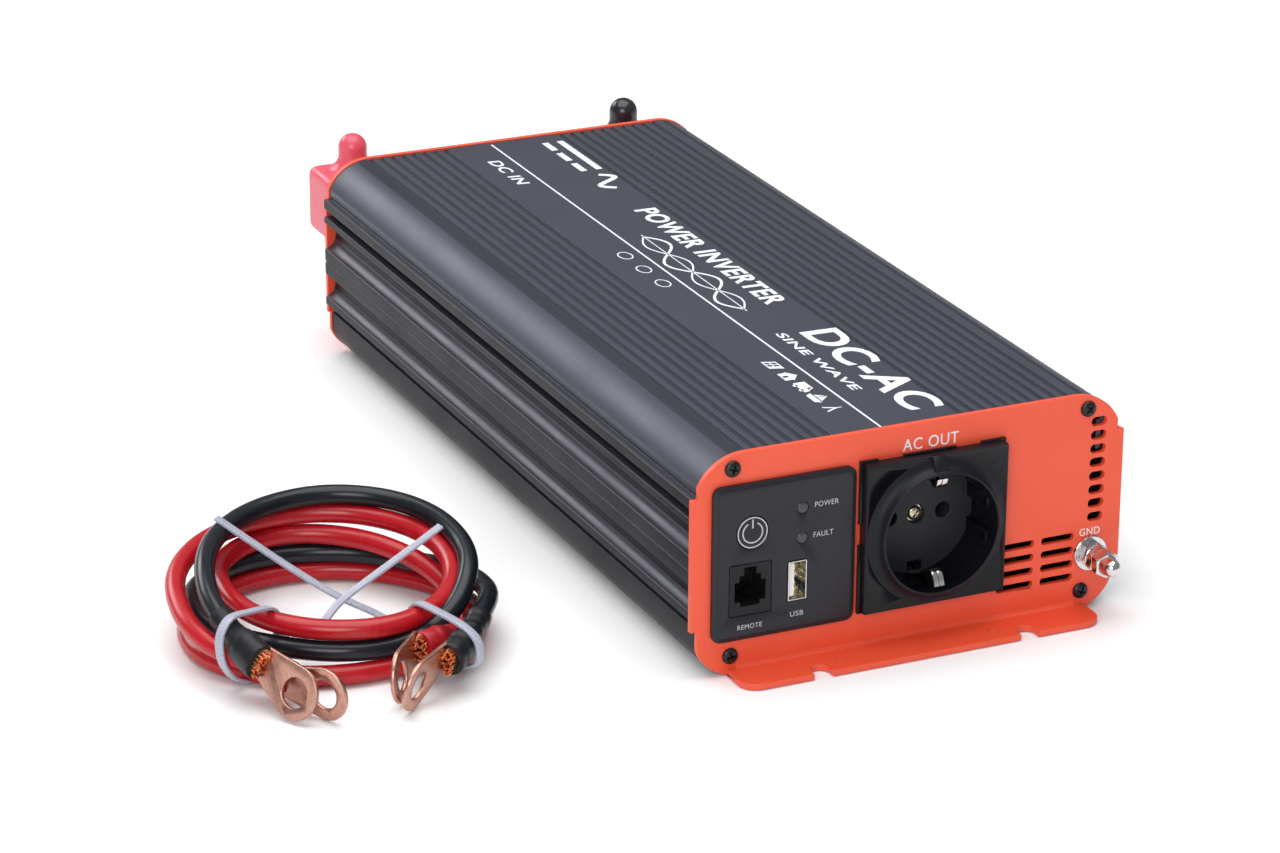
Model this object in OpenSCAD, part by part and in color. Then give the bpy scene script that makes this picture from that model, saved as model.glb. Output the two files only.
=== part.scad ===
// Power inverter in an extruded aluminium case, with its battery lead set.
// Millimetres, +Z up. The origin is on the resting face, under the middle of the case.
// The panel with the socket faces -Y, and the battery terminals face +Y.

/* [Case] */
// Length over the outer faces of the two end plates
case_l = 317; // [300:1:340]
// Width of the end plates
plate_w = 152.2; // [151:0.2:156]
// Height of the end plates
plate_h = 74; // [73.6:0.1:76]
// Thickness of the end plates and their feet
plate_t = 2; // [1.5:0.1:2.5]
// How far the end plates stand proud of the extrusions
plate_lip = 0.4; // [0.2:0.1:0.8]
// Height of the seam between the cover and the base
seam_z = 61; // [60.6:0.1:61.6]
// Depth of the decorative grooves along the cover
groove_d = 0.6; // [0.3:0.1:1]
// Distance between neighbouring grooves
groove_pitch = 4.2; // [3.8:0.1:4.6]

/* [Feet] */
// How far each foot reaches out from its end plate
foot_l = 14.2; // [12:0.1:18]
// Width of each foot
foot_w = 127; // [110:1:128]
// Distance of each mounting notch from the middle
notch_x = 36.6; // [30:0.1:45]
// Width of each mounting notch
notch_w = 6.4; // [5:0.1:8]
// Depth of each mounting notch
notch_d = 5.8; // [4.5:0.1:7]

/* [Front panel] */
// Width of the control panel
panel_w = 49; // [47:0.5:51]
// Height of the control panel
panel_h = 51.8; // [50:0.2:54]
// How far the control panel stands proud
panel_proud = 2; // [1.5:0.1:3]
// Travel of the power button
button_travel = 0.7; // [0.3:0.1:0.75]
// Side of the square socket plate
socket_w = 50; // [48:0.5:52]
// How far the socket plate stands proud
socket_proud = 4.3; // [3:0.1:5]
// Radius of the socket recess
recess_r = 19.8; // [19.5:0.1:20]
// Depth of the socket recess
recess_d = 17.5; // [17:0.1:18]
// Distance between the two pin holes
pin_pitch = 19; // [18.8:0.1:19.2]
// Radius of each pin hole
pin_r = 2.6; // [2.5:0.05:2.8]

/* [Terminals] */
// Distance of each battery terminal from the middle
post_x = 55.2; // [52:0.2:57]
// Height of the battery terminals
post_z = 50; // [46:0.5:51]
// Radius of the battery terminal posts
post_r = 4; // [3:0.5:4]
// Radius of the earth stud
stud_r = 2.5; // [2:0.5:3]

/* [Fan] */
// Side of the square fan
fan_w = 60; // [58:1:61]
// Depth of the fan
fan_d = 20; // [15:1:25]
// Number of fan blades
blade_count = 7; // [5:1:9]

/* [Battery leads] */
// Outer diameter of a battery lead
lead_d = 6.6; // [6:0.1:7.5]
// Radius to the middle of the coiled turns
coil_r = 44.5; // [42:0.5:48]
// Width of the coiled bundle
coil_w = 14.5; // [12:0.5:18]
// Height of the coiled bundle
coil_h = 32; // [26:1:36]
// Radius of the hole in a ring lug
lug_hole_r = 4.2; // [3.2:0.1:4.4]

/* [Hidden] */
// Outer faces of the end plates, and the ends of the extrusions
y_front = -case_l / 2;
y_back = case_l / 2;
y_in = y_front + plate_t;
y_out = y_back - plate_t;
// Outline of the end plates
shoulder_w = 147.6;
shoulder_hi = 62.4;
shoulder_lo = 14.6;
step_hi = 60.4;
step_lo = 16.4;
corner_hi = 17.2;
corner_lo = 14;
corner_hi_x = 58.2;
corner_lo_x = 60.5;
// End plate screws
screw_x = 62.45;
screw_hi_z = 69.1;
screw_lo_z = 6.5;
screw_r = 1.45;
thread_r = 1.5;
// Walls of the extrusions
wall_top = 2.6;
wall_floor = 3;
cavity_x = 69;
tongue_t = 1.8;
tongue_z = 54;
// Side fins of the base, each gap as its lower and upper height
slot_hi = [53.8, 56.8];
slot_lo = [16.2, 20];
scallop_hi_z = 46.4;
scallop_lo_z = 27.3;
scallop_r = 5.1;
scallop_x = 76.4;
slot_d = 4.6;
// Bands of grooves on the cover
groove_w = 1.7;
groove_left_x = -27.5;
groove_left_n = 8;
groove_right_x = 19;
groove_right_n = 10;
// Control panel and what it holds
panel_x = -44.85;
panel_z = 37.9;
skirt_w = 43.6;
skirt_h = 46.6;
skirt_y = y_front + 7.4;
board_y = y_front + 9;
board_t = 1.6;
y_face = y_front - panel_proud;
button_x = -56.2;
button_z = 47.7;
button_r = 5.4;
led_x = -38.85;
led_r = 1.85;
led_z = [52.9, 42.9];
jack_x = -56.65;
jack_z = 28.8;
jack_w = 14.3;
jack_h = 17;
usb_x = -40.5;
usb_z = 29;
usb_w = 6.4;
usb_h = 13.1;
fit_gap = 0.15;
// Socket
socket_x = 6.87;
socket_z = 38.83;
ring_r = 20.85;
ring_proud = 4;
cup_wall = 1.6;
cup_floor = 9;
y_socket = y_front - socket_proud;
y_recess = y_socket - ring_proud + recess_d;
socket_hole_w = 46;
// Earth stud and vents
stud_x = 65.3;
stud_z = 19.3;
vent_pitch = 4.67;
side_vent_x = 66.85;
side_vent_z = 64.2;
side_vent_n = 8;
low_vent_z = 25.8;
low_vent_n = 4;
// Fan
fan_z = 37.8;
fan_y = y_out - fan_d;
duct_r = fan_w / 2 - 1.2;
fan_hole = fan_w / 2 - 5;
hub_r = 13;
axle_r = 1.5;
grille_r = 28.5;
guard_y = y_back + 1;
wire_r = 0.8;
// Battery terminals and boots
bush_l = 7;
bush_r = 9;
nut_y = y_back + bush_l + 1.6;
nut_t = 6.5;
post_end = y_back + 25;
boot_y0 = y_back + 1;
boot_y1 = y_back + 31;
boot_hw = 14.7;
boot_z0 = 38;
boot_z1 = 63;
boot_wall = 2;
neck_y = y_back + 21.5;
neck_r = 5.65;
neck_top = 76.6;
// Main board and what stands on it
pcb_z = 14;
pcb_t = 1.6;
pcb_top = pcb_z + pcb_t;
pcb_y0 = -124;
pcb_y1 = 128;
pcb_hw = 66;
sink_y0 = -96;
sink_y1 = 92;
sink_x = 60;
sink_t = 6;
sink_h = 36;
transistor_n = 9;
// Lead set, with the middle of the coil as its centre
coil_x = -162;
coil_y = -78.5;
sleeve_r = lead_d / 2 + 0.7;
lug_t = 1.6;
lug_ring_r = 7.5;
barrel_r = lead_d / 2 + 1.1;
// Each lug: the middle of its hole, then its turns about X, Y and Z
black_lugs = [[-195.6, -133, 8.2, 90, 30, -50], [-160, -143.5, 8, 100, 14, -152]];
red_lugs = [[-186, -129, 7, 60, 14, -62], [-162.5, -134, 8, 80, 20, -118]];
// Where each lug's sleeve comes out of the coil
black_tails = [[-209.5, -98, 23], [-136, -121, 18]];
red_tails = [[-201, -100, 14], [-148, -114, 12]];

// ---- shared shapes ----

// A flat outline, drawn in X and Z, extruded along Y from y0 to y1
module bar_y(y0, y1) {
    translate([0, y1, 0]) rotate([90, 0, 0]) linear_extrude(y1 - y0) children();
}

// A round rod along Y at x, z
module rod_y(x, z, r, y0, y1) {
    translate([x, y1, z]) rotate([90, 0, 0]) cylinder(r = r, h = y1 - y0, $fn = 64);
}

// A hexagon along Y, measured across its flats
module hex_y(x, z, flats, y0, y1) {
    translate([x, y1, z]) rotate([90, 0, 0]) cylinder(d = flats / cos(30), h = y1 - y0, $fn = 6);
}

// A box from its middle in X and Z, running along Y
module box_y(x, z, w, h, y0, y1) {
    translate([x - w / 2, y0, z - h / 2]) cube([w, y1 - y0, h]);
}

module both_sides() {
    children();
    mirror([1, 0, 0]) children();
}

// Flat rectangle with round corners, centred at x, z
module round_rect(x, z, w, h, r) {
    translate([x - w / 2 + r, z - h / 2]) square([w - 2 * r, h]);
    translate([x - w / 2, z - h / 2 + r]) square([w, h - 2 * r]);
    for (sx = [-1, 1], sz = [-1, 1]) {
        translate([x + sx * (w / 2 - r), z + sz * (h / 2 - r)]) circle(r = r, $fn = 48);
    }
}

// Cross recess for a screw driver, cut from a head whose face is at y
module cross_slot(x, z, size, y) {
    box_y(x, z, size, size / 4, y, y + 1);
    box_y(x, z, size / 4, size, y, y + 1);
}

// A round rod from point a to point b
module rod_between(a, b, r) {
    v = b - a;
    len = norm(v);
    translate(a) rotate([0, acos(v[2] / len), atan2(v[1], v[0])]) cylinder(r = r, h = len, $fn = 48);
}

// ---- outline of the case ----

// Body with round upper corners: half width, top and corner radius
module arch(half_w, top, r, bottom) {
    translate([-half_w + r, bottom]) square([2 * (half_w - r), top - bottom]);
    translate([-half_w, bottom]) square([2 * half_w, top - r - bottom]);
    for (s = [-1, 1]) translate([s * (half_w - r), top - r]) circle(r = r, $fn = 96);
}

// Upper part of the end plate, above its shoulder notch
module upper_outline(inset) {
    intersection() {
        arch(corner_hi_x + corner_hi - inset, plate_h - inset, corner_hi - inset, step_hi - 1);
        translate([-shoulder_w / 2 + inset, step_hi - 1]) square([shoulder_w - 2 * inset, plate_h]);
    }
}

// Lower part of the end plate, below its shoulder notch
module lower_outline(inset) {
    intersection() {
        translate([0, step_lo + 1]) mirror([0, 1])
            arch(corner_lo_x + corner_lo - inset, step_lo + 1, corner_lo, 0);
        translate([-shoulder_w / 2 + inset, 0]) square([shoulder_w - 2 * inset, step_lo + 1]);
    }
}

module end_outline(inset) {
    upper_outline(inset);
    lower_outline(inset);
    translate([-plate_w / 2 + inset, step_lo]) square([plate_w - 2 * inset, step_hi - step_lo]);
}

// ---- case ----

module cover_grooves() {
    for (i = [0 : groove_left_n - 1]) {
        translate([groove_left_x - i * groove_pitch - groove_w, plate_h - plate_lip - groove_d])
            square([groove_w, groove_d + 1]);
    }
    for (i = [0 : groove_right_n - 1]) {
        translate([groove_right_x + i * groove_pitch - groove_w, plate_h - plate_lip - groove_d])
            square([groove_w, groove_d + 1]);
    }
}

module top_cover() {
    color("#4a4b50") bar_y(y_in, y_out) {
        difference() {
            union() {
                difference() {
                    intersection() {
                        upper_outline(plate_lip);
                        translate([-plate_w, seam_z]) square([2 * plate_w, plate_h]);
                    }
                    arch(cavity_x + 1.6, plate_h - plate_lip - wall_top, corner_hi - wall_top, 0);
                }
                for (s = [-1, 1]) {
                    translate([s * screw_x, screw_hi_z]) circle(r = 3.6, $fn = 64);
                    translate([s * (cavity_x - tongue_t / 2 - 0.3) - tongue_t / 2, tongue_z])
                        square([tongue_t, seam_z + 3 - tongue_z]);
                    translate([s * (cavity_x + 0.4) - 2.4, seam_z]) square([4.8, 3]);
                }
            }
            cover_grooves();
            for (s = [-1, 1]) translate([s * screw_x, screw_hi_z]) circle(r = thread_r, $fn = 48);
        }
    }
}

module base_extrusion() {
    color("#3b3c41") bar_y(y_in, y_out) {
        difference() {
            union() {
                difference() {
                    intersection() {
                        end_outline(plate_lip);
                        translate([-plate_w, 0]) square([2 * plate_w, seam_z - 0.2]);
                    }
                    translate([-cavity_x, corner_lo]) square([2 * cavity_x, plate_h]);
                    translate([-corner_lo_x - 2, wall_floor])
                        square([2 * corner_lo_x + 4, plate_h]);
                    for (s = [-1, 1]) translate([s * (cavity_x - 11), corner_lo])
                        circle(r = 11, $fn = 64);
                }
                for (s = [-1, 1]) translate([s * screw_x, screw_lo_z]) circle(r = 3.8, $fn = 64);
                for (s = [-1, 1]) translate([s * (cavity_x - 1.6) - 1.8, pcb_z - 2.2])
                    square([3.6, 1.8]);
            }
            for (s = [-1, 1]) {
                translate([s * screw_x, screw_lo_z]) circle(r = thread_r, $fn = 48);
                translate([s * scallop_x, scallop_hi_z]) circle(r = scallop_r, $fn = 64);
                translate([s * scallop_x, scallop_lo_z]) circle(r = scallop_r - 0.6, $fn = 64);
                translate([s * (plate_w / 2) - slot_d, slot_hi[0]])
                    square([2 * slot_d, slot_hi[1] - slot_hi[0]]);
                translate([s * (plate_w / 2) - slot_d, slot_lo[0]])
                    square([2 * slot_d, slot_lo[1] - slot_lo[0]]);
                translate([s * (plate_w / 2 - plate_lip) - 0.5, 36.2]) square([1, 0.8]);
            }
        }
    }
}

// Foot folded out from the bottom edge of an end plate, drawn for the front
module foot() {
    edge_r = 6;
    bend_r = 1.6;
    difference() {
        union() {
            translate([-foot_w / 2, y_front - foot_l + edge_r, 0])
                cube([foot_w, foot_l - edge_r + plate_t, plate_t]);
            translate([-foot_w / 2 + edge_r, y_front - foot_l, 0])
                cube([foot_w - 2 * edge_r, foot_l, plate_t]);
            for (s = [-1, 1]) translate([s * (foot_w / 2 - edge_r), y_front - foot_l + edge_r, 0])
                cylinder(r = edge_r, h = plate_t, $fn = 64);
            translate([-corner_lo_x, y_front - bend_r, plate_t - 0.2])
                cube([2 * corner_lo_x, bend_r + 0.5, bend_r + 0.2]);
            for (s = [-1, 1]) translate([s * 27, y_front - 6.8, 0])
                cylinder(r = 1.9, h = plate_t + 0.35, $fn = 48);
        }
        translate([-corner_lo_x - 1, y_front - bend_r, plate_t + bend_r]) rotate([0, 90, 0])
            cylinder(r = bend_r, h = 2 * corner_lo_x + 2, $fn = 64);
        for (s = [-1, 1]) {
            translate([s * notch_x, y_front - foot_l + notch_d - notch_w / 2, -1])
                cylinder(r = notch_w / 2, h = plate_t + 2, $fn = 64);
            translate([s * notch_x - notch_w / 2, y_front - foot_l - 1, -1])
                cube([notch_w, notch_d - notch_w / 2 + 1, plate_t + 2]);
        }
    }
}

module screw_holes() {
    for (s = [-1, 1], z = [screw_hi_z, screw_lo_z]) {
        translate([s * screw_x, z]) circle(r = 1.8, $fn = 48);
    }
}

module front_openings() {
    translate([panel_x - skirt_w / 2 - 0.3, panel_z - skirt_h / 2 - 0.3])
        square([skirt_w + 0.6, skirt_h + 0.6]);
    translate([socket_x - socket_hole_w / 2, socket_z - socket_hole_w / 2])
        square([socket_hole_w, socket_hole_w]);
    for (i = [0 : side_vent_n - 1]) {
        round_rect(side_vent_x, side_vent_z - i * vent_pitch, 5.5, 3, 1.4);
    }
    for (i = [0 : low_vent_n - 1]) {
        round_rect(53.5, low_vent_z - i * vent_pitch, 11.8, 2.4, 1);
        round_rect(38.2, low_vent_z - i * vent_pitch, 13.2, 2.4, 1);
    }
    translate([stud_x, stud_z]) circle(r = stud_r + 0.2, $fn = 48);
    screw_holes();
}

module front_plate() {
    color("#e4573a") {
        bar_y(y_front, y_in) difference() {
            end_outline(0);
            front_openings();
        }
        foot();
    }
}

module back_openings() {
    vent_rows = 5;
    translate([0, fan_z]) circle(r = grille_r, $fn = 96);
    for (sx = [-1, 1], sz = [-1, 1]) {
        translate([sx * fan_hole, fan_z + sz * fan_hole]) circle(r = 2.1, $fn = 48);
    }
    for (s = [-1, 1]) translate([s * post_x, post_z]) circle(r = 6.1, $fn = 64);
    for (s = [-1, 1], i = [0 : vent_rows - 1]) {
        round_rect(s * 52, 11.5 + i * vent_pitch, 22, 2.4, 1);
    }
    screw_holes();
}

module back_plate() {
    back_half = 74.9;
    color("#e4573a") {
        bar_y(y_out, y_back) difference() {
            intersection() {
                end_outline(0);
                translate([-back_half, 0]) square([2 * back_half, plate_h]);
            }
            back_openings();
        }
        mirror([0, 1, 0]) foot();
    }
}

// The four screws of one end plate, drawn for the front
module end_screws() {
    head_r = 2.7;
    head_t = 1.5;
    for (s = [-1, 1], z = [screw_hi_z, screw_lo_z]) difference() {
        union() {
            rod_y(s * screw_x, z, head_r, y_front - head_t + 0.4, y_front);
            translate([s * screw_x, y_front - head_t + 0.4, z]) rotate([90, 0, 0])
                cylinder(r1 = head_r, r2 = head_r - 0.9, h = 0.6, $fn = 64);
            rod_y(s * screw_x, z, screw_r, y_front - 0.5, y_front + 12);
        }
        cross_slot(s * screw_x, z, 3.1, y_front - head_t - 0.3);
    }
}

module front_plate_screws() {
    color("#232326") end_screws();
}

module back_plate_screws() {
    color("#232326") mirror([0, 1, 0]) end_screws();
}

// ---- control panel ----

module control_panel() {
    bevel = 0.8;
    color("#28292d") difference() {
        union() {
            bar_y(y_face + bevel, y_front) round_rect(panel_x, panel_z, panel_w, panel_h, 3.4);
            bar_y(y_face, y_face + bevel)
                round_rect(panel_x, panel_z, panel_w - 2 * bevel, panel_h - 2 * bevel, 2.8);
            difference() {
                box_y(panel_x, panel_z, skirt_w, skirt_h, y_front - 0.2, skirt_y);
                box_y(panel_x, panel_z, skirt_w - 3.2, skirt_h - 3.2, y_front + 0.4, skirt_y + 1);
            }
        }
        rod_y(button_x, button_z, button_r + fit_gap, y_face - 1, y_front + 2);
        for (z = led_z) rod_y(led_x, z, led_r + fit_gap, y_face - 1, y_front + 2);
        box_y(jack_x, jack_z, jack_w + 0.3, jack_h + 0.3, y_face - 1, y_front + 2);
        box_y(usb_x, usb_z, usb_w + 0.3, usb_h + 0.3, y_face - 1, y_front + 2);
    }
}

module power_button() {
    color("#26272b") {
        rod_y(button_x, button_z, button_r, y_face - 0.1, y_front + 0.6);
        rod_y(button_x, button_z, 1.9, y_front + 0.5, board_y - 3.5 - button_travel - 1.1);
    }
}

module tact_switch() {
    color("#1d1d20") {
        box_y(button_x, button_z, 6, 6, board_y - 3.5, board_y);
        rod_y(button_x, button_z, 1.7, board_y - 4.5, board_y - 3.4);
    }
}

module light_pipe(z) {
    rod_y(led_x, z, led_r, y_face - 0.05, board_y);
}

module power_led() {
    color("#6d6e72") light_pipe(led_z[0]);
}

module fault_led() {
    color("#6d6e72") light_pipe(led_z[1]);
}

// Opening of the jack: the plug's body, then the steps of its latch
module jack_mouth() {
    mouth = y_face - 1;
    back = board_y - 1.2;
    box_y(jack_x, jack_z - 0.6, 10.6, 6.6, mouth, back);
    box_y(jack_x, jack_z + 3.6, 7.4, 2.4, mouth, back);
    box_y(jack_x, jack_z + 5.6, 4.2, 3.6, mouth, back);
    box_y(jack_x, jack_z - 4.6, 6.6, 1.6, mouth, back);
}

module remote_jack() {
    color("#1f2023") difference() {
        box_y(jack_x, jack_z, jack_w, jack_h, y_face + 0.1, board_y);
        jack_mouth();
    }
}

module remote_jack_contacts() {
    pins = 6;
    pin_step = 1.02;
    color("#c8a24c") for (i = [0 : pins - 1]) {
        box_y(jack_x + (i - (pins - 1) / 2) * pin_step, jack_z - 4.5, 0.4, 1.8, y_front + 1.5, board_y - 1.2);
    }
}

module usb_shell() {
    sheet = 0.35;
    color("#b9bbbf") difference() {
        box_y(usb_x, usb_z, usb_w, usb_h, y_face - 0.2, board_y);
        box_y(usb_x, usb_z, usb_w - 2 * sheet, usb_h - 2 * sheet, y_face - 1, board_y - sheet);
    }
}

module usb_tongue() {
    color("#e9e9ea") box_y(usb_x - 1.5, usb_z, 1.9, 11.2, y_face + 1, board_y - 0.35);
}

module usb_contacts() {
    color("#c8a24c") for (i = [-1.5, -0.5, 0.5, 1.5]) {
        box_y(usb_x - 0.35, usb_z + i * 2.4, 0.4, 1.2, y_face + 1.6, board_y - 1);
    }
}

module panel_board() {
    color("#2e6b3c") box_y(panel_x, panel_z, 42, 45, board_y, board_y + board_t);
}

// ---- mains socket ----

// Castellated rim behind the socket plate
module socket_rim() {
    rim = 0.7;
    t = 1.2;
    difference() {
        box_y(socket_x, socket_z, socket_w + 2 * rim, socket_w + 2 * rim, y_front - t, y_front);
        for (x = [-11.2, 4.1, 20.1]) {
            box_y(socket_x + x, socket_z - socket_w / 2 - 1, 3.2, 2, y_front - t - 1, y_front + 1);
        }
        for (x = [-15, 12.5]) {
            box_y(socket_x + x, socket_z + socket_w / 2 + 1, 9, 2, y_front - t - 1, y_front + 1);
        }
        for (s = [-1, 1]) {
            box_y(socket_x + s * (socket_w / 2 + 1), socket_z + 1.1, 2, 7, y_front - t - 1, y_front + 1);
        }
    }
}

module socket_face() {
    clip_w = 5.4;
    flank_r = 24.4;
    color("#26282c") difference() {
        union() {
            box_y(socket_x, socket_z, socket_w, socket_w, y_socket, y_front);
            socket_rim();
            rod_y(socket_x, socket_z, ring_r, y_socket - ring_proud, y_socket + 1);
            translate([socket_x, y_socket, socket_z]) rotate([90, 0, 0]) {
                cylinder(r1 = flank_r, r2 = (flank_r + ring_r) / 2 - 0.5, h = ring_proud / 2 - 0.4, $fn = 96);
                cylinder(r1 = (flank_r + ring_r) / 2 + 0.4, r2 = ring_r, h = ring_proud - 0.8, $fn = 96);
            }
            rod_y(socket_x, socket_z, recess_r + cup_wall, y_front - 1, y_recess + cup_floor);
            box_y(socket_x, socket_z + 22.8, 4.6, 4.4, y_socket - 1.8, y_socket + 1);
        }
        rod_y(socket_x, socket_z, recess_r, y_socket - ring_proud - 1, y_recess);
        for (s = [-1, 1]) {
            rod_y(socket_x + s * pin_pitch / 2, socket_z, pin_r, y_recess - 1, y_recess + cup_floor + 1);
            box_y(socket_x, socket_z + s * recess_r, clip_w, 3.2, y_socket, y_recess + cup_floor + 1);
        }
        rod_y(socket_x, socket_z, 3.2, y_recess - 1, y_recess + 2.5);
        rod_y(socket_x, socket_z, 1.8, y_recess, y_recess + cup_floor + 1);
    }
}

module socket_rear_housing() {
    y0 = y_recess + cup_floor + 0.1;
    y1 = y0 + 12;
    color("#d9d9d6") difference() {
        rod_y(socket_x, socket_z, 20.5, y0, y1);
        for (s = [-1, 1]) {
            rod_y(socket_x + s * pin_pitch / 2, socket_z, 3.5, y0 - 1, y1 - 1.5);
            box_y(socket_x, socket_z + s * 19.8, 6, 4, y0 - 1, y1 - 1);
        }
        rod_y(socket_x, socket_z, 1.7, y0 - 1, y1 - 2);
    }
}

module socket_earth_clip() {
    strip = 0.8;
    y0 = y_socket + 0.6;
    y1 = y_recess + cup_floor;
    color("#cfd0d2") for (s = [-1, 1]) {
        box_y(socket_x, socket_z + s * (recess_r + 0.4), 4.4, strip, y0, y1);
        box_y(socket_x, socket_z + s * (recess_r + 0.25), 2.6, 0.4, y_socket + 1.2, y_socket + 5.6);
    }
}

module socket_center_screw() {
    y_head = y_recess + 0.3;
    color("#b8a978") difference() {
        union() {
            rod_y(socket_x, socket_z, 2.9, y_head, y_head + 2.1);
            rod_y(socket_x, socket_z, 1.6, y_head + 2, y_recess + cup_floor + 9);
        }
        cross_slot(socket_x, socket_z, 3.6, y_head - 0.2);
    }
}

module socket_pin_sleeves() {
    y0 = y_recess + cup_floor + 0.2;
    color("#c2a14e") for (s = [-1, 1]) difference() {
        rod_y(socket_x + s * pin_pitch / 2, socket_z, 3.3, y0, y0 + 10);
        rod_y(socket_x + s * pin_pitch / 2, socket_z, pin_r - 0.25, y0 - 1, y0 + 8.5);
    }
}

// ---- earth stud ----

module ground_stud() {
    color("#c5c6c8") {
        rod_y(stud_x, stud_z, stud_r, y_front - 12.4, y_in + 1);
        rod_y(stud_x, stud_z, stud_r + 0.6, y_in, y_in + 2.5);
    }
}

// Ring round the stud, as an outer radius between two distances from the plate
module stud_ring(r, near, far) {
    difference() {
        rod_y(stud_x, stud_z, r, y_front - far, y_front - near);
        rod_y(stud_x, stud_z, stud_r + 0.1, y_front - far - 1, y_front - near + 1);
    }
}

module stud_nut(near, far) {
    difference() {
        hex_y(stud_x, stud_z, 8, y_front - far, y_front - near);
        rod_y(stud_x, stud_z, stud_r + 0.05, y_front - far - 1, y_front - near + 1);
    }
}

module ground_washers() {
    color("#cfd0d2") {
        stud_ring(5.9, 0, 1.2);
        stud_ring(4.4, 4.5, 5.1);
    }
}

module ground_nuts() {
    color("#c9cacc") {
        stud_nut(1.2, 4.5);
        stud_nut(5.1, 8.3);
    }
}

module ground_acorn_nut() {
    near = 8.4;
    hex_t = 3.4;
    dome_r = 2.95;
    tip = 17.3;
    color("#cfd0d2") difference() {
        union() {
            hex_y(stud_x, stud_z, 8, y_front - near - hex_t, y_front - near);
            rod_y(stud_x, stud_z, dome_r, y_front - tip + dome_r, y_front - near - hex_t + 0.5);
            translate([stud_x, y_front - tip + dome_r, stud_z]) sphere(r = dome_r, $fn = 64);
        }
        rod_y(stud_x, stud_z, stud_r + 0.05, y_front - 13, y_front - near + 1);
    }
}

// ---- fan ----

module at_fan_corners() {
    for (sx = [-1, 1], sz = [-1, 1]) translate([sx * fan_hole, 0, fan_z + sz * fan_hole]) children();
}

module fan_frame() {
    arm_w = 4;
    color("#222326") difference() {
        union() {
            difference() {
                box_y(0, fan_z, fan_w, fan_w, fan_y, y_out);
                rod_y(0, fan_z, duct_r, fan_y - 1, y_out + 1);
            }
            intersection() {
                rod_y(0, fan_z, duct_r + 1, fan_y, fan_y + 3);
                for (a = [45, 135]) translate([0, fan_y, fan_z]) rotate([0, a, 0])
                    translate([-fan_w / 2, 0, -arm_w / 2]) cube([fan_w, 3, arm_w]);
            }
            rod_y(0, fan_z, hub_r, fan_y, fan_y + 3);
            rod_y(0, fan_z, 3.5, fan_y, fan_y + 8);
        }
        rod_y(0, fan_z, axle_r + 0.05, fan_y + 0.8, fan_y + 9);
        at_fan_corners() rod_y(0, 0, 2.15, fan_y - 1, y_out + 1);
    }
}

module fan_rotor() {
    tip_r = duct_r - 0.9;
    blade_t = 1.3;
    blade_l = fan_d - 8.5;
    y0 = fan_y + 4.4;
    y1 = y_out - 2.6;
    color("#2b2c30") {
        difference() {
            rod_y(0, fan_z, hub_r, y0, y1);
            rod_y(0, fan_z, hub_r - 1.4, y0 - 1, y1 - 1.6);
        }
        rod_y(0, fan_z, axle_r, fan_y + 1.2, y1);
        intersection() {
            rod_y(0, fan_z, tip_r, y0, y1);
            for (i = [0 : blade_count - 1]) translate([0, (y0 + y1) / 2, fan_z])
                rotate([0, i * 360 / blade_count, 0]) rotate([0, 0, 38])
                translate([-blade_t / 2, -blade_l, hub_r - 0.6]) cube([blade_t, 2 * blade_l, tip_r]);
        }
    }
}

// Flat ring of the guard at a radius, as wide as its wire
module guard_ring(x, z, r) {
    difference() {
        rod_y(x, z, r + wire_r, guard_y - wire_r, guard_y + wire_r);
        rod_y(x, z, r - wire_r, guard_y - 2 * wire_r, guard_y + 2 * wire_r);
    }
}

module fan_guard() {
    rings = 4;
    spoke = norm([fan_hole, fan_hole]);
    color("#d0d1d3") {
        for (i = [1 : rings]) guard_ring(0, fan_z, 27 * i / rings + 0.6);
        for (a = [45, 135, 225, 315]) translate([0, guard_y, fan_z]) rotate([0, a, 0])
            translate([-wire_r, -wire_r, 6.6]) cube([2 * wire_r, 2 * wire_r, spoke - 9.4]);
        for (sx = [-1, 1], sz = [-1, 1]) {
            guard_ring(sx * fan_hole, fan_z + sz * fan_hole, 3.2);
        }
    }
}

module fan_screws() {
    color("#c5c6c8") at_fan_corners() difference() {
        union() {
            rod_y(0, 0, 3.6, guard_y + wire_r, guard_y + wire_r + 2.2);
            rod_y(0, 0, 1.95, fan_y, guard_y + wire_r + 0.5);
        }
        cross_slot(0, 0, 4, guard_y + wire_r + 1.5);
    }
}

// ---- battery terminals ----

module terminal_bushing() {
    difference() {
        union() {
            rod_y(post_x, post_z, bush_r, y_back, y_back + bush_l);
            rod_y(post_x, post_z, 6, y_out - 0.1, y_back + 1);
            rod_y(post_x, post_z, bush_r, y_out - 4, y_out);
        }
        rod_y(post_x, post_z, post_r + 0.1, y_out - 5, y_back + bush_l + 1);
    }
}

module red_terminal_bushing() {
    color("#b3262b") mirror([1, 0, 0]) terminal_bushing();
}

module black_terminal_bushing() {
    color("#1c1c1f") terminal_bushing();
}

module terminal_posts() {
    color("#c2a14e") both_sides() {
        rod_y(post_x, post_z, post_r, y_out - 18, post_end);
        hex_y(post_x, post_z, 13, y_out - 9, y_out - 4);
    }
}

module terminal_washers() {
    color("#cfd0d2") both_sides() difference() {
        rod_y(post_x, post_z, 8, y_back + bush_l, nut_y);
        rod_y(post_x, post_z, post_r + 0.2, y_back + bush_l - 1, nut_y + 1);
    }
}

module terminal_nuts() {
    color("#c9cacc") both_sides() difference() {
        hex_y(post_x, post_z, 13, nut_y, nut_y + nut_t);
        rod_y(post_x, post_z, post_r + 0.05, nut_y - 1, nut_y + nut_t + 1);
    }
}

// Box of the boot with its long edges rounded
module boot_block(grow, y0, y1) {
    bar_y(y0, y1) round_rect(post_x, (boot_z0 + boot_z1) / 2,
        2 * (boot_hw + grow), boot_z1 - boot_z0 + 2 * grow, 3 + grow);
}

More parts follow.
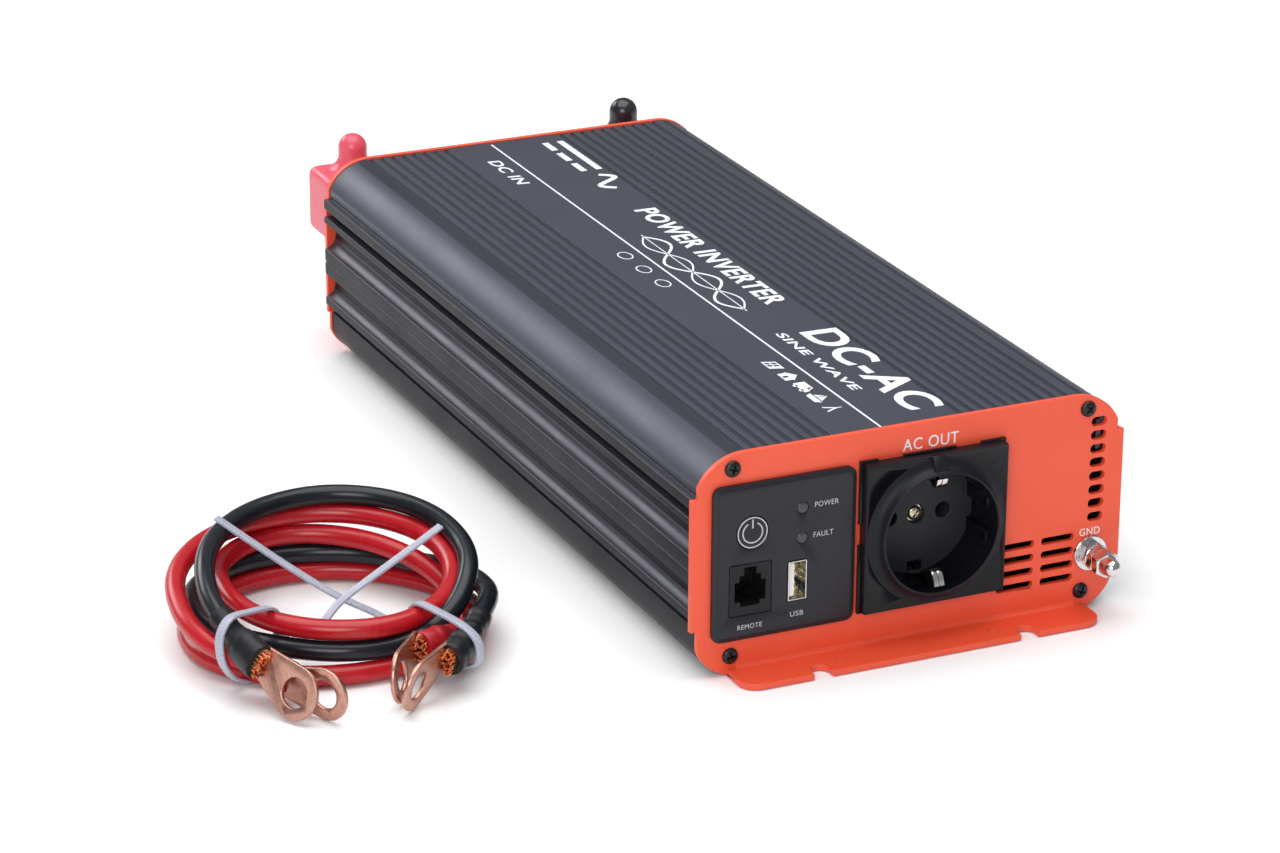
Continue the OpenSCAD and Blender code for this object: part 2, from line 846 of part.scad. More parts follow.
// Turned profile of the cable neck: a flare, a tube and a closed dome
module neck_profile(grow) {
    top = neck_top - neck_r;
    difference() {
        union() {
            square([neck_r + grow, top]);
            translate([0, boot_z1 - 3]) square([neck_r + 3.4, 5.4]);
            intersection() {
                translate([0, top]) circle(r = neck_r + grow, $fn = 64);
                square([neck_r + 1, neck_top + 1]);
            }
        }
        translate([neck_r + 3.4, boot_z1 + 3.2]) circle(r = 3.2, $fn = 64);
        translate([-1, -1]) square([2 * neck_r + 20, boot_z1 - 2]);
    }
}

module boot() {
    wall_neck = 1.5;
    difference() {
        union() {
            boot_block(0, boot_y0, boot_y1);
            translate([post_x, neck_y, 0]) rotate_extrude($fn = 64) neck_profile(0);
        }
        boot_block(-boot_wall, boot_y0 - 1, boot_y1 - boot_wall);
        translate([post_x, neck_y, boot_z1 - 4])
            cylinder(r = neck_r - wall_neck, h = neck_top - neck_r - boot_z1 + 4, $fn = 48);
    }
}

module red_boot() {
    color("#d8485f") mirror([1, 0, 0]) boot();
}

module black_boot() {
    color("#242529") boot();
}

// ---- inside the case ----

module board_points() {
    for (x = [-55, 55], y = [pcb_y0 + 6, 5, pcb_y1 - 6]) translate([x, y, 0]) children();
}

module main_board() {
    color("#2b5f3a") difference() {
        translate([-pcb_hw, pcb_y0, pcb_z]) cube([2 * pcb_hw, pcb_y1 - pcb_y0, pcb_t]);
        board_points() translate([0, 0, pcb_z - 1]) cylinder(r = 1.7, h = pcb_t + 2, $fn = 32);
    }
}

module board_standoffs() {
    color("#c2a14e") board_points() difference() {
        translate([0, 0, wall_floor]) cylinder(d = 6.4, h = pcb_z - wall_floor, $fn = 6);
        translate([0, 0, wall_floor + 2]) cylinder(r = 1.6, h = pcb_z, $fn = 32);
    }
}

module board_screws() {
    color("#c5c6c8") board_points() {
        translate([0, 0, pcb_top]) cylinder(r = 2.8, h = 2, $fn = 48);
        translate([0, 0, pcb_z - 6]) cylinder(r = 1.5, h = pcb_t + 7, $fn = 32);
    }
}

// Places of the two transformers on the board
module at_transformers() {
    for (y = [36, -22]) translate([-6, y, pcb_top]) children();
}

module transformer_cores() {
    color("#3a3a3c") at_transformers() difference() {
        translate([-26, -19, 0]) cube([52, 38, 38]);
        translate([-18, -20, 6]) cube([10, 40, 26]);
        translate([8, -20, 6]) cube([10, 40, 26]);
    }
}

module transformer_windings() {
    color("#d8b53a") at_transformers() difference() {
        translate([-17.6, -24, 6.4]) cube([35.2, 48, 25.2]);
        translate([-8.4, -19.4, 6]) cube([16.8, 38.8, 27]);
    }
}

module input_capacitors() {
    color("#2a3550") for (i = [0 : 5]) translate([-44 + i * 17.6, 84, pcb_top])
        cylinder(r = 8, h = 30, $fn = 64);
}

module bus_capacitors() {
    color("#2c2c30") for (i = [0 : 2]) translate([-36 + i * 28, -66, pcb_top])
        cylinder(r = 12, h = 36, $fn = 64);
}

// Heat sink bar standing along one side of the board
module heat_sink() {
    fins = 5;
    fin_pitch = 7;
    translate([sink_x, sink_y0, pcb_top]) cube([2.4, sink_y1 - sink_y0, sink_h]);
    for (i = [0 : fins - 1]) translate([sink_x, sink_y0, pcb_top + 2 + i * fin_pitch])
        cube([sink_t, sink_y1 - sink_y0, 1.6]);
}

module heat_sink_left() {
    color("#b4b6ba") mirror([1, 0, 0]) heat_sink();
}

module heat_sink_right() {
    color("#b4b6ba") heat_sink();
}

module power_transistors() {
    step = (sink_y1 - sink_y0 - 20) / (transistor_n - 1);
    color("#1c1c1f") both_sides() for (i = [0 : transistor_n - 1]) {
        translate([sink_x - 4.6, sink_y0 + 5 + i * step, pcb_top + 4]) cube([4.5, 10, 15]);
        for (k = [-1, 0, 1]) translate([sink_x - 2.8, sink_y0 + 9.6 + i * step + k * 2.5, pcb_top])
            cube([0.6, 0.8, 5]);
    }
}

module output_choke() {
    color("#b5702c") translate([34, -98, pcb_top + 17]) rotate([0, 90, 0])
        rotate_extrude($fn = 64) translate([11.5, 0]) circle(r = 5.5, $fn = 32);
}

module fuses() {
    color("#c9772a") for (i = [0 : 5]) translate([-46 + i * 17, 103, pcb_top]) cube([5, 19, 13]);
}

module bus_bars() {
    bar_w = 12;
    bar_t = 1.5;
    y0 = 112;
    color("#c47a3c") both_sides() {
        difference() {
            translate([post_x - bar_w / 2 - 2, y_out - 10.6, post_z - 10]) cube([bar_w + 2, bar_t, 20]);
            rod_y(post_x, post_z, post_r + 0.1, y_out - 12, y_out - 8);
        }
        translate([post_x - bar_w / 2 - 2, y0, post_z - 10]) cube([bar_w, y_out - 9.1 - y0, bar_t]);
        translate([post_x - bar_w / 2 - 2, y0, pcb_top]) cube([bar_w, bar_t, post_z - 9 - pcb_top]);
    }
}

module insulation_sheet() {
    color("#e6e3d6") difference() {
        translate([-60, pcb_y0, wall_floor]) cube([120, pcb_y1 - pcb_y0, 0.5]);
        board_points() translate([0, 0, wall_floor - 1]) cylinder(r = 4.4, h = 3, $fn = 32);
    }
}

// Live, neutral and earth wires from the board to the socket
module ac_wires() {
    wire = 1.4;
    y_sock = y_recess + cup_floor + 12.1;
    color("#7a4a2a") for (i = [-1, 0, 1]) {
        rod_y(socket_x + i * 8, socket_z - 8, wire, y_sock, y_sock + 8);
        translate([socket_x + i * 8, y_sock + 8, pcb_top]) cylinder(r = wire, h = socket_z - 8 - pcb_top, $fn = 32);
        translate([socket_x + i * 8, y_sock + 8, socket_z - 8]) sphere(r = wire, $fn = 32);
    }
}

// ---- battery lead set ----

// Solid outer shape of a coiled lead between two heights
module coil_ring(z0, z1) {
    translate([coil_x, coil_y, 0]) rotate_extrude($fn = 96)
        round_rect(coil_r, (z0 + z1) / 2, coil_w, z1 - z0, 3);
}

module red_lead_coil() {
    color("#c3202f") coil_ring(0, coil_h / 2);
}

module black_lead_coil() {
    color("#24262b") coil_ring(coil_h / 2, coil_h);
}

// Where the barrel of a lug starts, worked out from its hole and its turns
function lug_root(l) = [
    l[0] - 15 * cos(l[4]) * cos(l[5]),
    l[1] - 15 * cos(l[4]) * sin(l[5]),
    l[2] + 15 * sin(l[4])
];

module sleeves(lugs, tails) {
    for (i = [0, 1]) rod_between(tails[i], lug_root(lugs[i]), sleeve_r);
}

module red_lead_sleeves() {
    color("#9c1c28") sleeves(red_lugs, red_tails);
}

module black_lead_sleeves() {
    color("#1e1f22") sleeves(black_lugs, black_tails);
}

// One stamped ring lug, lying along X with its hole at the origin
module lug() {
    tongue = 9;
    difference() {
        union() {
            translate([0, 0, -lug_t / 2]) cylinder(r = lug_ring_r, h = lug_t, $fn = 64);
            translate([-tongue, -4.6, -lug_t / 2]) cube([tongue, 9.2, lug_t]);
            translate([-15, 0, 0]) rotate([0, 90, 0]) cylinder(r = barrel_r, h = 6.5, $fn = 48);
        }
        translate([0, 0, -lug_t]) cylinder(r = lug_hole_r, h = 2 * lug_t, $fn = 64);
    }
}

module ring_lugs() {
    color("#c07a4f") for (l = concat(black_lugs, red_lugs)) {
        translate([l[0], l[1], l[2]]) rotate([l[3], l[4], l[5]]) lug();
    }
}

// Band of a cable tie round the bundle, at an angle round the coil
module tie_band(angle) {
    band_w = 4.4;
    band_t = 1.2;
    lift = 0.4;
    translate([coil_x, coil_y, 0]) rotate([0, 0, angle]) translate([0, band_w / 2, 0])
        rotate([90, 0, 0]) linear_extrude(band_w) difference() {
            round_rect(coil_r, coil_h / 2 + lift, coil_w + 2 * band_t, coil_h + 2 * lift, 4);
            round_rect(coil_r, coil_h / 2 + lift, coil_w, coil_h - 2 * band_t + 2 * lift, 3);
        }
}

// Long end of a cable tie, crossing the middle of the coil
module tie_strap(a, b) {
    v = b - a;
    len = norm(v);
    translate(a) rotate([0, acos(v[2] / len), atan2(v[1], v[0])]) translate([-0.6, -2.2, 0])
        cube([1.2, 4.4, len]);
}

module cable_ties() {
    color("#e6e8ea") {
        tie_band(226);
        tie_band(-40);
        tie_strap([-187, -46, coil_h], [-157, -106, 12]);
        tie_strap([-124, -68, coil_h], [-172, -104, 14]);
    }
}

top_cover();
base_extrusion();
front_plate();
back_plate();
front_plate_screws();
back_plate_screws();
control_panel();
power_button();
tact_switch();
power_led();
fault_led();
remote_jack();
remote_jack_contacts();
usb_shell();
usb_tongue();
usb_contacts();
panel_board();
socket_face();
socket_rear_housing();
socket_earth_clip();
socket_center_screw();
socket_pin_sleeves();
ground_stud();
ground_washers();
ground_nuts();
ground_acorn_nut();
fan_frame();
fan_rotor();
fan_guard();
fan_screws();
red_terminal_bushing();
black_terminal_bushing();
terminal_posts();
terminal_washers();
terminal_nuts();
red_boot();
black_boot();
main_board();
board_standoffs();
board_screws();
transformer_cores();
transformer_windings();
input_capacitors();
bus_capacitors();
heat_sink_left();
heat_sink_right();
power_transistors();
output_choke();
fuses();
bus_bars();
insulation_sheet();
ac_wires();
red_lead_coil();
black_lead_coil();
red_lead_sleeves();
black_lead_sleeves();
ring_lugs();
cable_ties();
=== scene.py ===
# %% [markdown]
# # A power inverter and its battery leads
# The object is a long aluminium case with orange end plates, a mains socket and a control
# panel in front, a fan and two booted battery terminals behind, and a coiled lead set.
# The frame holds every part at its real size, in metres. This lesson puts the looks on it:
# it copies the parts whose shape is right and eases their edges, and it makes again the
# parts that need a finer shape than a plain solid.

# %% Load the frame
import math

import bmesh
import bpy
from mathutils import Matrix, Vector


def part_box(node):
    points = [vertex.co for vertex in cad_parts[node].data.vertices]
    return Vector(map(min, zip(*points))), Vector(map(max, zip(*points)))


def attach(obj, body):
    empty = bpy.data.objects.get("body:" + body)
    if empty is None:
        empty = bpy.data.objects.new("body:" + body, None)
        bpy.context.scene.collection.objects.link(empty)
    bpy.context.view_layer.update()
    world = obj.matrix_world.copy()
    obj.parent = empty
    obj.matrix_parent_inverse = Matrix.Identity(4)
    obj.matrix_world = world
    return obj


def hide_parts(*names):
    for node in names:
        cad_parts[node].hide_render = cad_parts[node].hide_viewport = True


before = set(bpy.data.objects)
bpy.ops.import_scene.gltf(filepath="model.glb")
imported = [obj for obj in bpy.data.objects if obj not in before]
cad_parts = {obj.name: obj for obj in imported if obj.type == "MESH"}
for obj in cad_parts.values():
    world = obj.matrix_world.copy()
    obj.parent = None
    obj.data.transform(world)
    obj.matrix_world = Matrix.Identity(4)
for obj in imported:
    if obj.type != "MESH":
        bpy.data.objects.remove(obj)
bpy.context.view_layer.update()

MM = 0.001
print("nodes in the frame:", len(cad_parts))

# %% [markdown]
# ## The camera
# A product picture of a long box is taken from well away with a long lens, so that the far
# end doesn't shrink. The camera could be aimed with a constraint, but its three axes are
# built one by one here, because a product photographer sets a height, a turn and a slight roll.

# %% Camera
CAMERA_PLACE = Vector((-0.6050, -1.2632, 0.5692))
CAMERA_TURN = math.radians(-24.84)
CAMERA_TILT = math.radians(21.57)
CAMERA_ROLL = math.radians(0.38)
CAMERA_LENS = 122.5


def camera_axes(turn, tilt, roll):
    back = Vector((math.sin(turn) * math.cos(tilt), -math.cos(turn) * math.cos(tilt), math.sin(tilt)))
    right = Vector((math.cos(turn), math.sin(turn), 0.0))
    up = back.cross(right)
    rolled_right = math.cos(roll) * right + math.sin(roll) * up
    rolled_up = math.cos(roll) * up - math.sin(roll) * right
    return Matrix((rolled_right, rolled_up, back)).transposed()


camera_data = bpy.data.cameras.new("product_camera")
camera_data.lens = CAMERA_LENS
camera_data.sensor_width = 36.0
camera_data.clip_start = 0.05
camera_data.clip_end = 20.0
camera = bpy.data.objects.new("product_camera", camera_data)
bpy.context.scene.collection.objects.link(camera)
turned_axes = camera_axes(CAMERA_TURN, CAMERA_TILT, CAMERA_ROLL).to_4x4()
camera.matrix_world = Matrix.Translation(CAMERA_PLACE) @ turned_axes
bpy.context.scene.camera = camera
print("camera is", round(CAMERA_PLACE.length, 2), "m from the middle of the case")

# %% [markdown]
# ## Shapes that many pieces share
# Nearly every small part here is one of four things: a flat plate with an outline, a turned
# part, a section swept along a line, or a copy of a frame part with eased edges. Each gets
# one helper. Eased corners matter more than anything else: a real edge is never perfectly
# sharp, and the thin line of light along it is what tells the eye that it is solid.


# %% Objects from points and faces
def link(name, mesh):
    piece = bpy.data.objects.new(name, mesh)
    bpy.context.scene.collection.objects.link(piece)
    return piece


def smooth_by_angle(mesh, degrees=35.0):
    mesh.shade_smooth()
    mesh.set_sharp_from_angle(angle=math.radians(degrees))


def piece_from(name, points, faces, sharp=35.0):
    mesh = bpy.data.meshes.new(name)
    mesh.from_pydata([tuple(p) for p in points], [], faces)
    work = bmesh.new()
    work.from_mesh(mesh)
    bmesh.ops.remove_doubles(work, verts=work.verts, dist=1e-7)
    bmesh.ops.recalc_face_normals(work, faces=work.faces)
    work.to_mesh(mesh)
    work.free()
    smooth_by_angle(mesh, sharp)
    return link(name, mesh)


def joined(name, pieces):
    work = bmesh.new()
    for piece in pieces:
        piece.data.transform(piece.matrix_world)
        work.from_mesh(piece.data)
    mesh = bpy.data.meshes.new(name)
    work.to_mesh(mesh)
    work.free()
    for piece in pieces:
        bpy.data.objects.remove(piece)
    smooth_by_angle(mesh)
    return link(name, mesh)


def settled(piece):
    """The piece with its modifiers worked into its mesh."""
    bpy.context.view_layer.update()
    shown = piece.evaluated_get(bpy.context.evaluated_depsgraph_get())
    mesh = bpy.data.meshes.new_from_object(shown)
    piece.modifiers.clear()
    piece.data = mesh
    return piece


def adopt(piece, body, slot, *nodes):
    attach(piece, body)
    if nodes:
        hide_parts(*nodes)
    return piece


# %% [markdown]
# A corner is eased by leaving it out and running a short curve past it. A quadratic curve
# with the old corner as its control point needs no centre and works for any angle, which a
# true arc does not.


# %% Outlines with eased corners
def corner_curve(a, corner, b, steps):
    """Points on the short curve from a to b that the corner pulls outwards."""
    out = []
    for k in range(steps + 1):
        t = k / steps
        out.append(tuple(a * (1 - t) ** 2 + corner * (2 * t * (1 - t)) + b * t ** 2))
    return out


def eased(points, radius, steps=4, closed=True):
    count = len(points)
    out = []
    for i, corner in enumerate(points):
        if not closed and i in (0, count - 1):
            out.append(tuple(corner))
            continue
        here = Vector(corner)
        before = Vector(points[i - 1])
        after = Vector(points[(i + 1) % count])
        near_in = min(radius, (before - here).length * 0.49)
        near_out = min(radius, (after - here).length * 0.49)
        a = here + (before - here).normalized() * near_in
        b = here + (after - here).normalized() * near_out
        out += corner_curve(a, here, b, steps)
    return out


def ring(x, z, radius, count=48):
    turn = 2 * math.pi / count
    return [(x + radius * math.cos(i * turn), z + radius * math.sin(i * turn)) for i in range(count)]


def block(x, z, width, height, radius=0.0, steps=5):
    w, h = width / 2, height / 2
    corners = [(x - w, z - h), (x + w, z - h), (x + w, z + h), (x - w, z + h)]
    return eased(corners, radius, steps) if radius else corners


# %% [markdown]
# ### Flat plates
# A plate is its outline filled in, then pulled to its thickness. Inner outlines become
# holes by themselves, because the fill runs between all the edges it is given. The bevel
# comes last and works by angle, so that it finds the rims and leaves the flat faces alone.


# %% Plates
def bevelled(piece, width, steps=2, angle=30.0):
    if width > 0:
        edge = piece.modifiers.new("eased_edges", "BEVEL")
        edge.width = width
        edge.segments = steps
        edge.limit_method = "ANGLE"
        edge.angle_limit = math.radians(angle)
        edge.use_clamp_overlap = False
        edge.harden_normals = True
    return piece


def plate(name, outlines, y0, y1, edge=0.2, steps=2):
    """Outlines are in millimetres in X and Z; y0 is the face towards -Y."""
    work = bmesh.new()
    rims = []
    for outline in outlines:
        loop = [work.verts.new((x * MM, y0 * MM, z * MM)) for x, z in outline]
        rims += [work.edges.new((loop[i - 1], loop[i])) for i in range(len(loop))]
    bmesh.ops.triangle_fill(work, edges=rims, use_beauty=True)
    limit = math.radians(1)
    bmesh.ops.dissolve_limit(work, angle_limit=limit, verts=work.verts, edges=work.edges)
    grown = bmesh.ops.extrude_face_region(work, geom=list(work.faces))
    moved = [g for g in grown["geom"] if isinstance(g, bmesh.types.BMVert)]
    bmesh.ops.translate(work, verts=moved, vec=(0, (y1 - y0) * MM, 0))
    bmesh.ops.recalc_face_normals(work, faces=work.faces)
    mesh = bpy.data.meshes.new(name)
    work.to_mesh(mesh)
    work.free()
    smooth_by_angle(mesh)
    return settled(bevelled(link(name, mesh), edge * MM, steps))


# %% [markdown]
# ### Turned parts
# Screw heads, washers, nuts' round edges, lenses and the socket cup all come off a lathe or
# out of a round mould, so each is a profile of radius against depth, spun about its axis.


# %% Turned parts
def turned(name, profile, x, z, count=64, closed=False, sharp=35.0):
    """The profile is a list of (radius, y) in millimetres, about an axis along Y."""
    points, rows, faces = [], [], []
    for radius, y in profile:
        if radius < 1e-6:
            rows.append([len(points)] * count)
            points.append((x * MM, y * MM, z * MM))
            continue
        rows.append(list(range(len(points), len(points) + count)))
        points += [(px * MM, y * MM, pz * MM) for px, pz in ring(x, z, radius, count)]
    pairs = list(zip(rows, rows[1:]))
    if closed:
        pairs.append((rows[-1], rows[0]))
    for low, high in pairs:
        for i in range(count):
            j = (i + 1) % count
            face = []
            for p in (low[i], low[j], high[j], high[i]):
                if p not in face:
                    face.append(p)
            if len(face) > 2:
                faces.append(face)
    return piece_from(name, points, faces, sharp)


# %% [markdown]
# ### Swept sections
# Wires, sleeves and straps keep one section along a bent line. The section is carried along
# without twist: each step turns the last frame only as far as the line itself has turned.


# %% Swept parts
def swept(name, line, section, sizes=None, first_up=(0, 0, 1), caps=True, sharp=50.0):
    """line is in metres; section is a list of (side, up) in millimetres."""
    line = [Vector(p) for p in line]
    count = len(section)
    up = Vector(first_up)
    points, faces = [], []
    for i, here in enumerate(line):
        ahead = (line[min(i + 1, len(line) - 1)] - line[max(i - 1, 0)]).normalized()
        up = (up - ahead * up.dot(ahead)).normalized()
        side = ahead.cross(up)
        size = sizes[i] if sizes else (1.0, 1.0)
        for a, b in section:
            points.append(here + side * (a * size[0] * MM) + up * (b * size[1] * MM))
        if i:
            base = (i - 1) * count
            for k in range(count):
                n = (k + 1) % count
                faces.append([base + k, base + n, base + count + n, base + count + k])
    if caps:
        faces.append(list(range(count)))
        faces.append(list(range(len(points) - count, len(points))))
    return piece_from(name, points, faces, sharp)


def through(stations, steps=8):
    """A smooth line through given points."""
    out = []
    last = len(stations) - 1
    for i in range(last):
        p0, p1 = Vector(stations[max(i - 1, 0)]), Vector(stations[i])
        p2, p3 = Vector(stations[i + 1]), Vector(stations[min(i + 2, last)])
        for k in range(steps):
            t = k / steps
            bend = (2 * p0 - 5 * p1 + 4 * p2 - p3) * t ** 2 + (3 * p1 - p0 - 3 * p2 + p3) * t ** 3
            out.append(0.5 * (2 * p1 + (p2 - p0) * t + bend))
    out.append(Vector(stations[-1]))
    return out


# %% [markdown]
# ### Copies of frame parts
# A punched plate or a moulded block already has the right outline in the frame, so a copy
# of it is welded, its flat faces are joined up, and its edges are eased. An easing can push
# a point outwards at an awkward corner, so every point is held inside the part's own box.
# The frame part itself is never changed: the copy stands in for it.


# %% Eased copies
def eased_copy(node, width, steps=2, angle=30.0):
    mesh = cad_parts[node].data.copy()
    mesh.name = node + "_eased"
    for layer in [a.name for a in mesh.attributes if a.name == "custom_normal"]:
        mesh.attributes.remove(mesh.attributes[layer])
    mesh.materials.clear()
    work = bmesh.new()
    work.from_mesh(mesh)
    bmesh.ops.remove_doubles(work, verts=work.verts, dist=2e-6)
    limit = math.radians(0.5)
    bmesh.ops.dissolve_limit(work, angle_limit=limit, verts=work.verts, edges=work.edges)
    work.to_mesh(mesh)
    work.free()
    smooth_by_angle(mesh, 28.0)
    copy = settled(bevelled(link(node + "_eased", mesh), width * MM, steps, angle))
    low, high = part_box(node)
    for vertex in copy.data.vertices:
        vertex.co = [min(max(c, a), b) for c, a, b in zip(vertex.co, low, high)]
    return copy


# %% [markdown]
# ### New extrusions
# On a long case with fine grooves an eased copy breaks into dashes, because easing follows
# the frame's own triangles. An extrusion needs none of them: its outline is read off the
# front end, its corners are rounded, and it is pulled to the same length in the same place.


# %% The outline of an extruded part
def end_outline(node):
    """The outline of an extruded part, read off its front end, in mm."""
    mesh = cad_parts[node].data
    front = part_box(node)[0][1]
    places, used = {}, {}
    for triangle in mesh.polygons:
        if abs(triangle.normal.y) < 0.5:
            continue
        corners = [mesh.vertices[i].co for i in triangle.vertices]
        if any(abs(c.y - front) > 1e-5 for c in corners):
            continue
        keys = [(round(c.x * 1e5), round(c.z * 1e5)) for c in corners]
        for key, corner in zip(keys, corners):
            places[key] = (corner.x / MM, corner.z / MM)
        for a, b in zip(keys, keys[1:] + keys[:1]):
            used[frozenset((a, b))] = used.get(frozenset((a, b)), 0) + 1
    rims = [tuple(edge) for edge, times in used.items() if times == 1 and len(edge) == 2]
    beside = {}
    for a, b in rims:
        beside.setdefault(a, []).append(b)
        beside.setdefault(b, []).append(a)
    start = min(beside)
    loop, last, here = [start], None, start
    while True:
        ahead = [key for key in beside[here] if key != last]
        last, here = here, ahead[0]
        if here == start:
            break
        loop.append(here)
    return [places[key] for key in loop]


# %% A new extrusion
def soft_corners(outline, radius, steps=4, sharp=25.0):
    """Rounds only the corners that turn by more than the given angle."""
    out = []
    for i, corner in enumerate(outline):
        here = Vector(corner)
        back, on = Vector(outline[i - 1]) - here, Vector(outline[(i + 1) % len(outline)]) - here
        if math.degrees((-back).angle(on, 0.0)) < sharp:
            out.append(tuple(corner))
            continue
        a = here + back.normalized() * min(radius, back.length * 0.45)
        b = here + on.normalized() * min(radius, on.length * 0.45)
        out += corner_curve(a, here, b, steps)
    return out


def extrusion(node, radius):
    """A new extrusion with the frame part's outline, length and place, and eased corners."""
    low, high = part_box(node)
    outline = soft_corners(end_outline(node), radius)
    piece = plate(node + "_drawn", [outline], low[1] / MM, high[1] / MM, edge=0)
    smooth_by_angle(piece.data, 40.0)
    return piece


# %% [markdown]
# ## Finishes
# All finishes come from one small recipe. A broad, faint cloud shifts the colour and the
# polish, as handling and casting do, and a fine grain gives the surface its tooth. The
# grain's size is given in millimetres, because powder coat, spark-eroded plastic and
# brushed metal differ mostly in that size. Gloss is how strongly a bare surface mirrors the
# room: 0.5 suits a clean one, and a dull black needs less. It is the same all over, so it is
# set straight on the shader.


# %% The recipe
def finish(name, colour, cloud, rough, swing, grain, depth, metal=0.0, patch=14.0,
           stretch=(1, 1, 1), gloss=0.5, fleck=0.12):
    """grain and patch are sizes in mm, depth is the height of the grain in mm."""
    material = bpy.data.materials.new(name)
    material.use_nodes = True
    nodes, links = material.node_tree.nodes, material.node_tree.links
    shader = nodes["Principled BSDF"]
    shader.inputs["Metallic"].default_value = metal
    shader.inputs["Specular IOR Level"].default_value = gloss
    place = nodes.new("ShaderNodeTexCoord")
    mapping = nodes.new("ShaderNodeMapping")
    mapping.inputs["Scale"].default_value = stretch
    links.new(place.outputs["Object"], mapping.inputs["Vector"])
    broad = nodes.new("ShaderNodeTexNoise")
    broad.inputs["Scale"].default_value = 1 / (patch * MM)
    broad.inputs["Detail"].default_value = 3.0
    fine = nodes.new("ShaderNodeTexNoise")
    fine.inputs["Scale"].default_value = 1 / (grain * MM)
    fine.inputs["Detail"].default_value = 2.0
    for noise in (broad, fine):
        links.new(mapping.outputs["Vector"], noise.inputs["Vector"])
    clouds = nodes.new("ShaderNodeMix")
    clouds.data_type = "RGBA"
    clouds.inputs["A"].default_value = (*colour, 1)
    clouds.inputs["B"].default_value = (*cloud, 1)
    links.new(broad.outputs["Fac"], clouds.inputs["Factor"])
    flecks = nodes.new("ShaderNodeMapRange")
    flecks.inputs["From Min"].default_value = 0.35
    flecks.inputs["From Max"].default_value = 0.65
    flecks.inputs["To Min"].default_value = 1 - fleck
    flecks.inputs["To Max"].default_value = 1 + fleck
    links.new(fine.outputs["Fac"], flecks.inputs["Value"])
    tint = nodes.new("ShaderNodeVectorMath")
    tint.operation = "SCALE"
    links.new(clouds.outputs["Result"], tint.inputs[0])
    links.new(flecks.outputs["Result"], tint.inputs["Scale"])
    links.new(tint.outputs["Vector"], shader.inputs["Base Color"])
    polish = nodes.new("ShaderNodeMapRange")
    polish.inputs["From Min"].default_value = 0.3
    polish.inputs["From Max"].default_value = 0.7
    polish.inputs["To Min"].default_value = max(0.03, rough - swing)
    polish.inputs["To Max"].default_value = min(1.0, rough + swing)
    links.new(broad.outputs["Fac"], polish.inputs["Value"])
    links.new(polish.outputs["Result"], shader.inputs["Roughness"])
    bump = nodes.new("ShaderNodeBump")
    bump.inputs["Distance"].default_value = depth * MM
    links.new(fine.outputs["Fac"], bump.inputs["Height"])
    links.new(bump.outputs["Normal"], shader.inputs["Normal"])
    return material


def wear(piece, material):
    piece.data.materials.clear()
    piece.data.materials.append(material)
    return piece


# %% [markdown]
# The case is aluminium under a fine satin coat with metal flake in it, so it is half way
# between paint and metal. The floors of the cover's grooves get a darker, duller material
# of their own, whose dark colour is painted shade, and the up-facing faces of the base get a
# lighter, glossier one, whose light colour is a painted highlight. The end plates are powder
# coated, with a coarser grain and a deep colour. One plain paint all over would be simpler,
# but it would make the box look like a toy.

# %% Case and plate finishes
case_coat = finish("case_coat", (0.050, 0.053, 0.074), (0.060, 0.064, 0.088), 0.43, 0.04,
                   0.32, 0.012, metal=0.35, patch=40, fleck=0.22)
# Painted shade: a darker colour for the floors of the cover's grooves, where shade falls.
groove_shade_coat = finish("groove_shade_coat", (0.024, 0.026, 0.037), (0.030, 0.032, 0.044), 0.50, 0.04,
                     0.32, 0.010, metal=0.25, patch=40, gloss=0.30, fleck=0.20)
base_coat = finish("base_coat", (0.008, 0.009, 0.012), (0.012, 0.013, 0.017), 0.40, 0.05,
                   0.30, 0.008, patch=30, gloss=0.10, fleck=0.15)
# Painted highlight: a lighter colour for the up-facing faces of the base, where the overhead light falls;
# its higher gloss is a real finish.
fin_top_highlight_coat = finish("fin_top_highlight_coat", (0.040, 0.042, 0.056), (0.052, 0.054, 0.070), 0.34, 0.05,
                  0.30, 0.008, metal=0.30, patch=30, gloss=0.35, fleck=0.15)
orange_coat = finish("orange_coat", (0.82, 0.090, 0.036), (0.77, 0.080, 0.031), 0.42, 0.05,
                     0.28, 0.010, patch=25, fleck=0.05)
screw_black = finish("screw_black", (0.022, 0.022, 0.026), (0.035, 0.034, 0.036), 0.32, 0.08,
                     0.15, 0.004, metal=0.7, patch=3, fleck=0.2)

# %% [markdown]
# Moulded black plastics differ by polish: the panel is satin with a crisp border, the socket
# has a fine spark-eroded grain, its cup and the jack are polished.

# %% Plastics
panel_black = finish("panel_black", (0.015, 0.015, 0.020), (0.019, 0.019, 0.025), 0.34, 0.04,
                     0.20, 0.004, patch=18, gloss=0.28, fleck=0.10)
socket_satin = finish("socket_satin", (0.007, 0.008, 0.012), (0.010, 0.011, 0.015), 0.42, 0.05,
                      0.18, 0.006, patch=12, gloss=0.20, fleck=0.12)
cup_gloss = finish("cup_gloss", (0.003, 0.003, 0.005), (0.005, 0.005, 0.007), 0.18, 0.05,
                   0.60, 0.002, patch=6, gloss=0.22, fleck=0.10)
floor_satin = finish("floor_satin", (0.020, 0.021, 0.026), (0.026, 0.027, 0.032), 0.45, 0.05,
                     0.20, 0.005, patch=9, gloss=0.28, fleck=0.10)
button_satin = finish("button_satin", (0.015, 0.015, 0.020), (0.018, 0.018, 0.023), 0.36, 0.04,
                      0.18, 0.004, patch=6, gloss=0.28, fleck=0.10)
jack_black = finish("jack_black", (0.006, 0.006, 0.008), (0.009, 0.009, 0.011), 0.30, 0.06,
                    0.25, 0.003, patch=5, gloss=0.25, fleck=0.10)
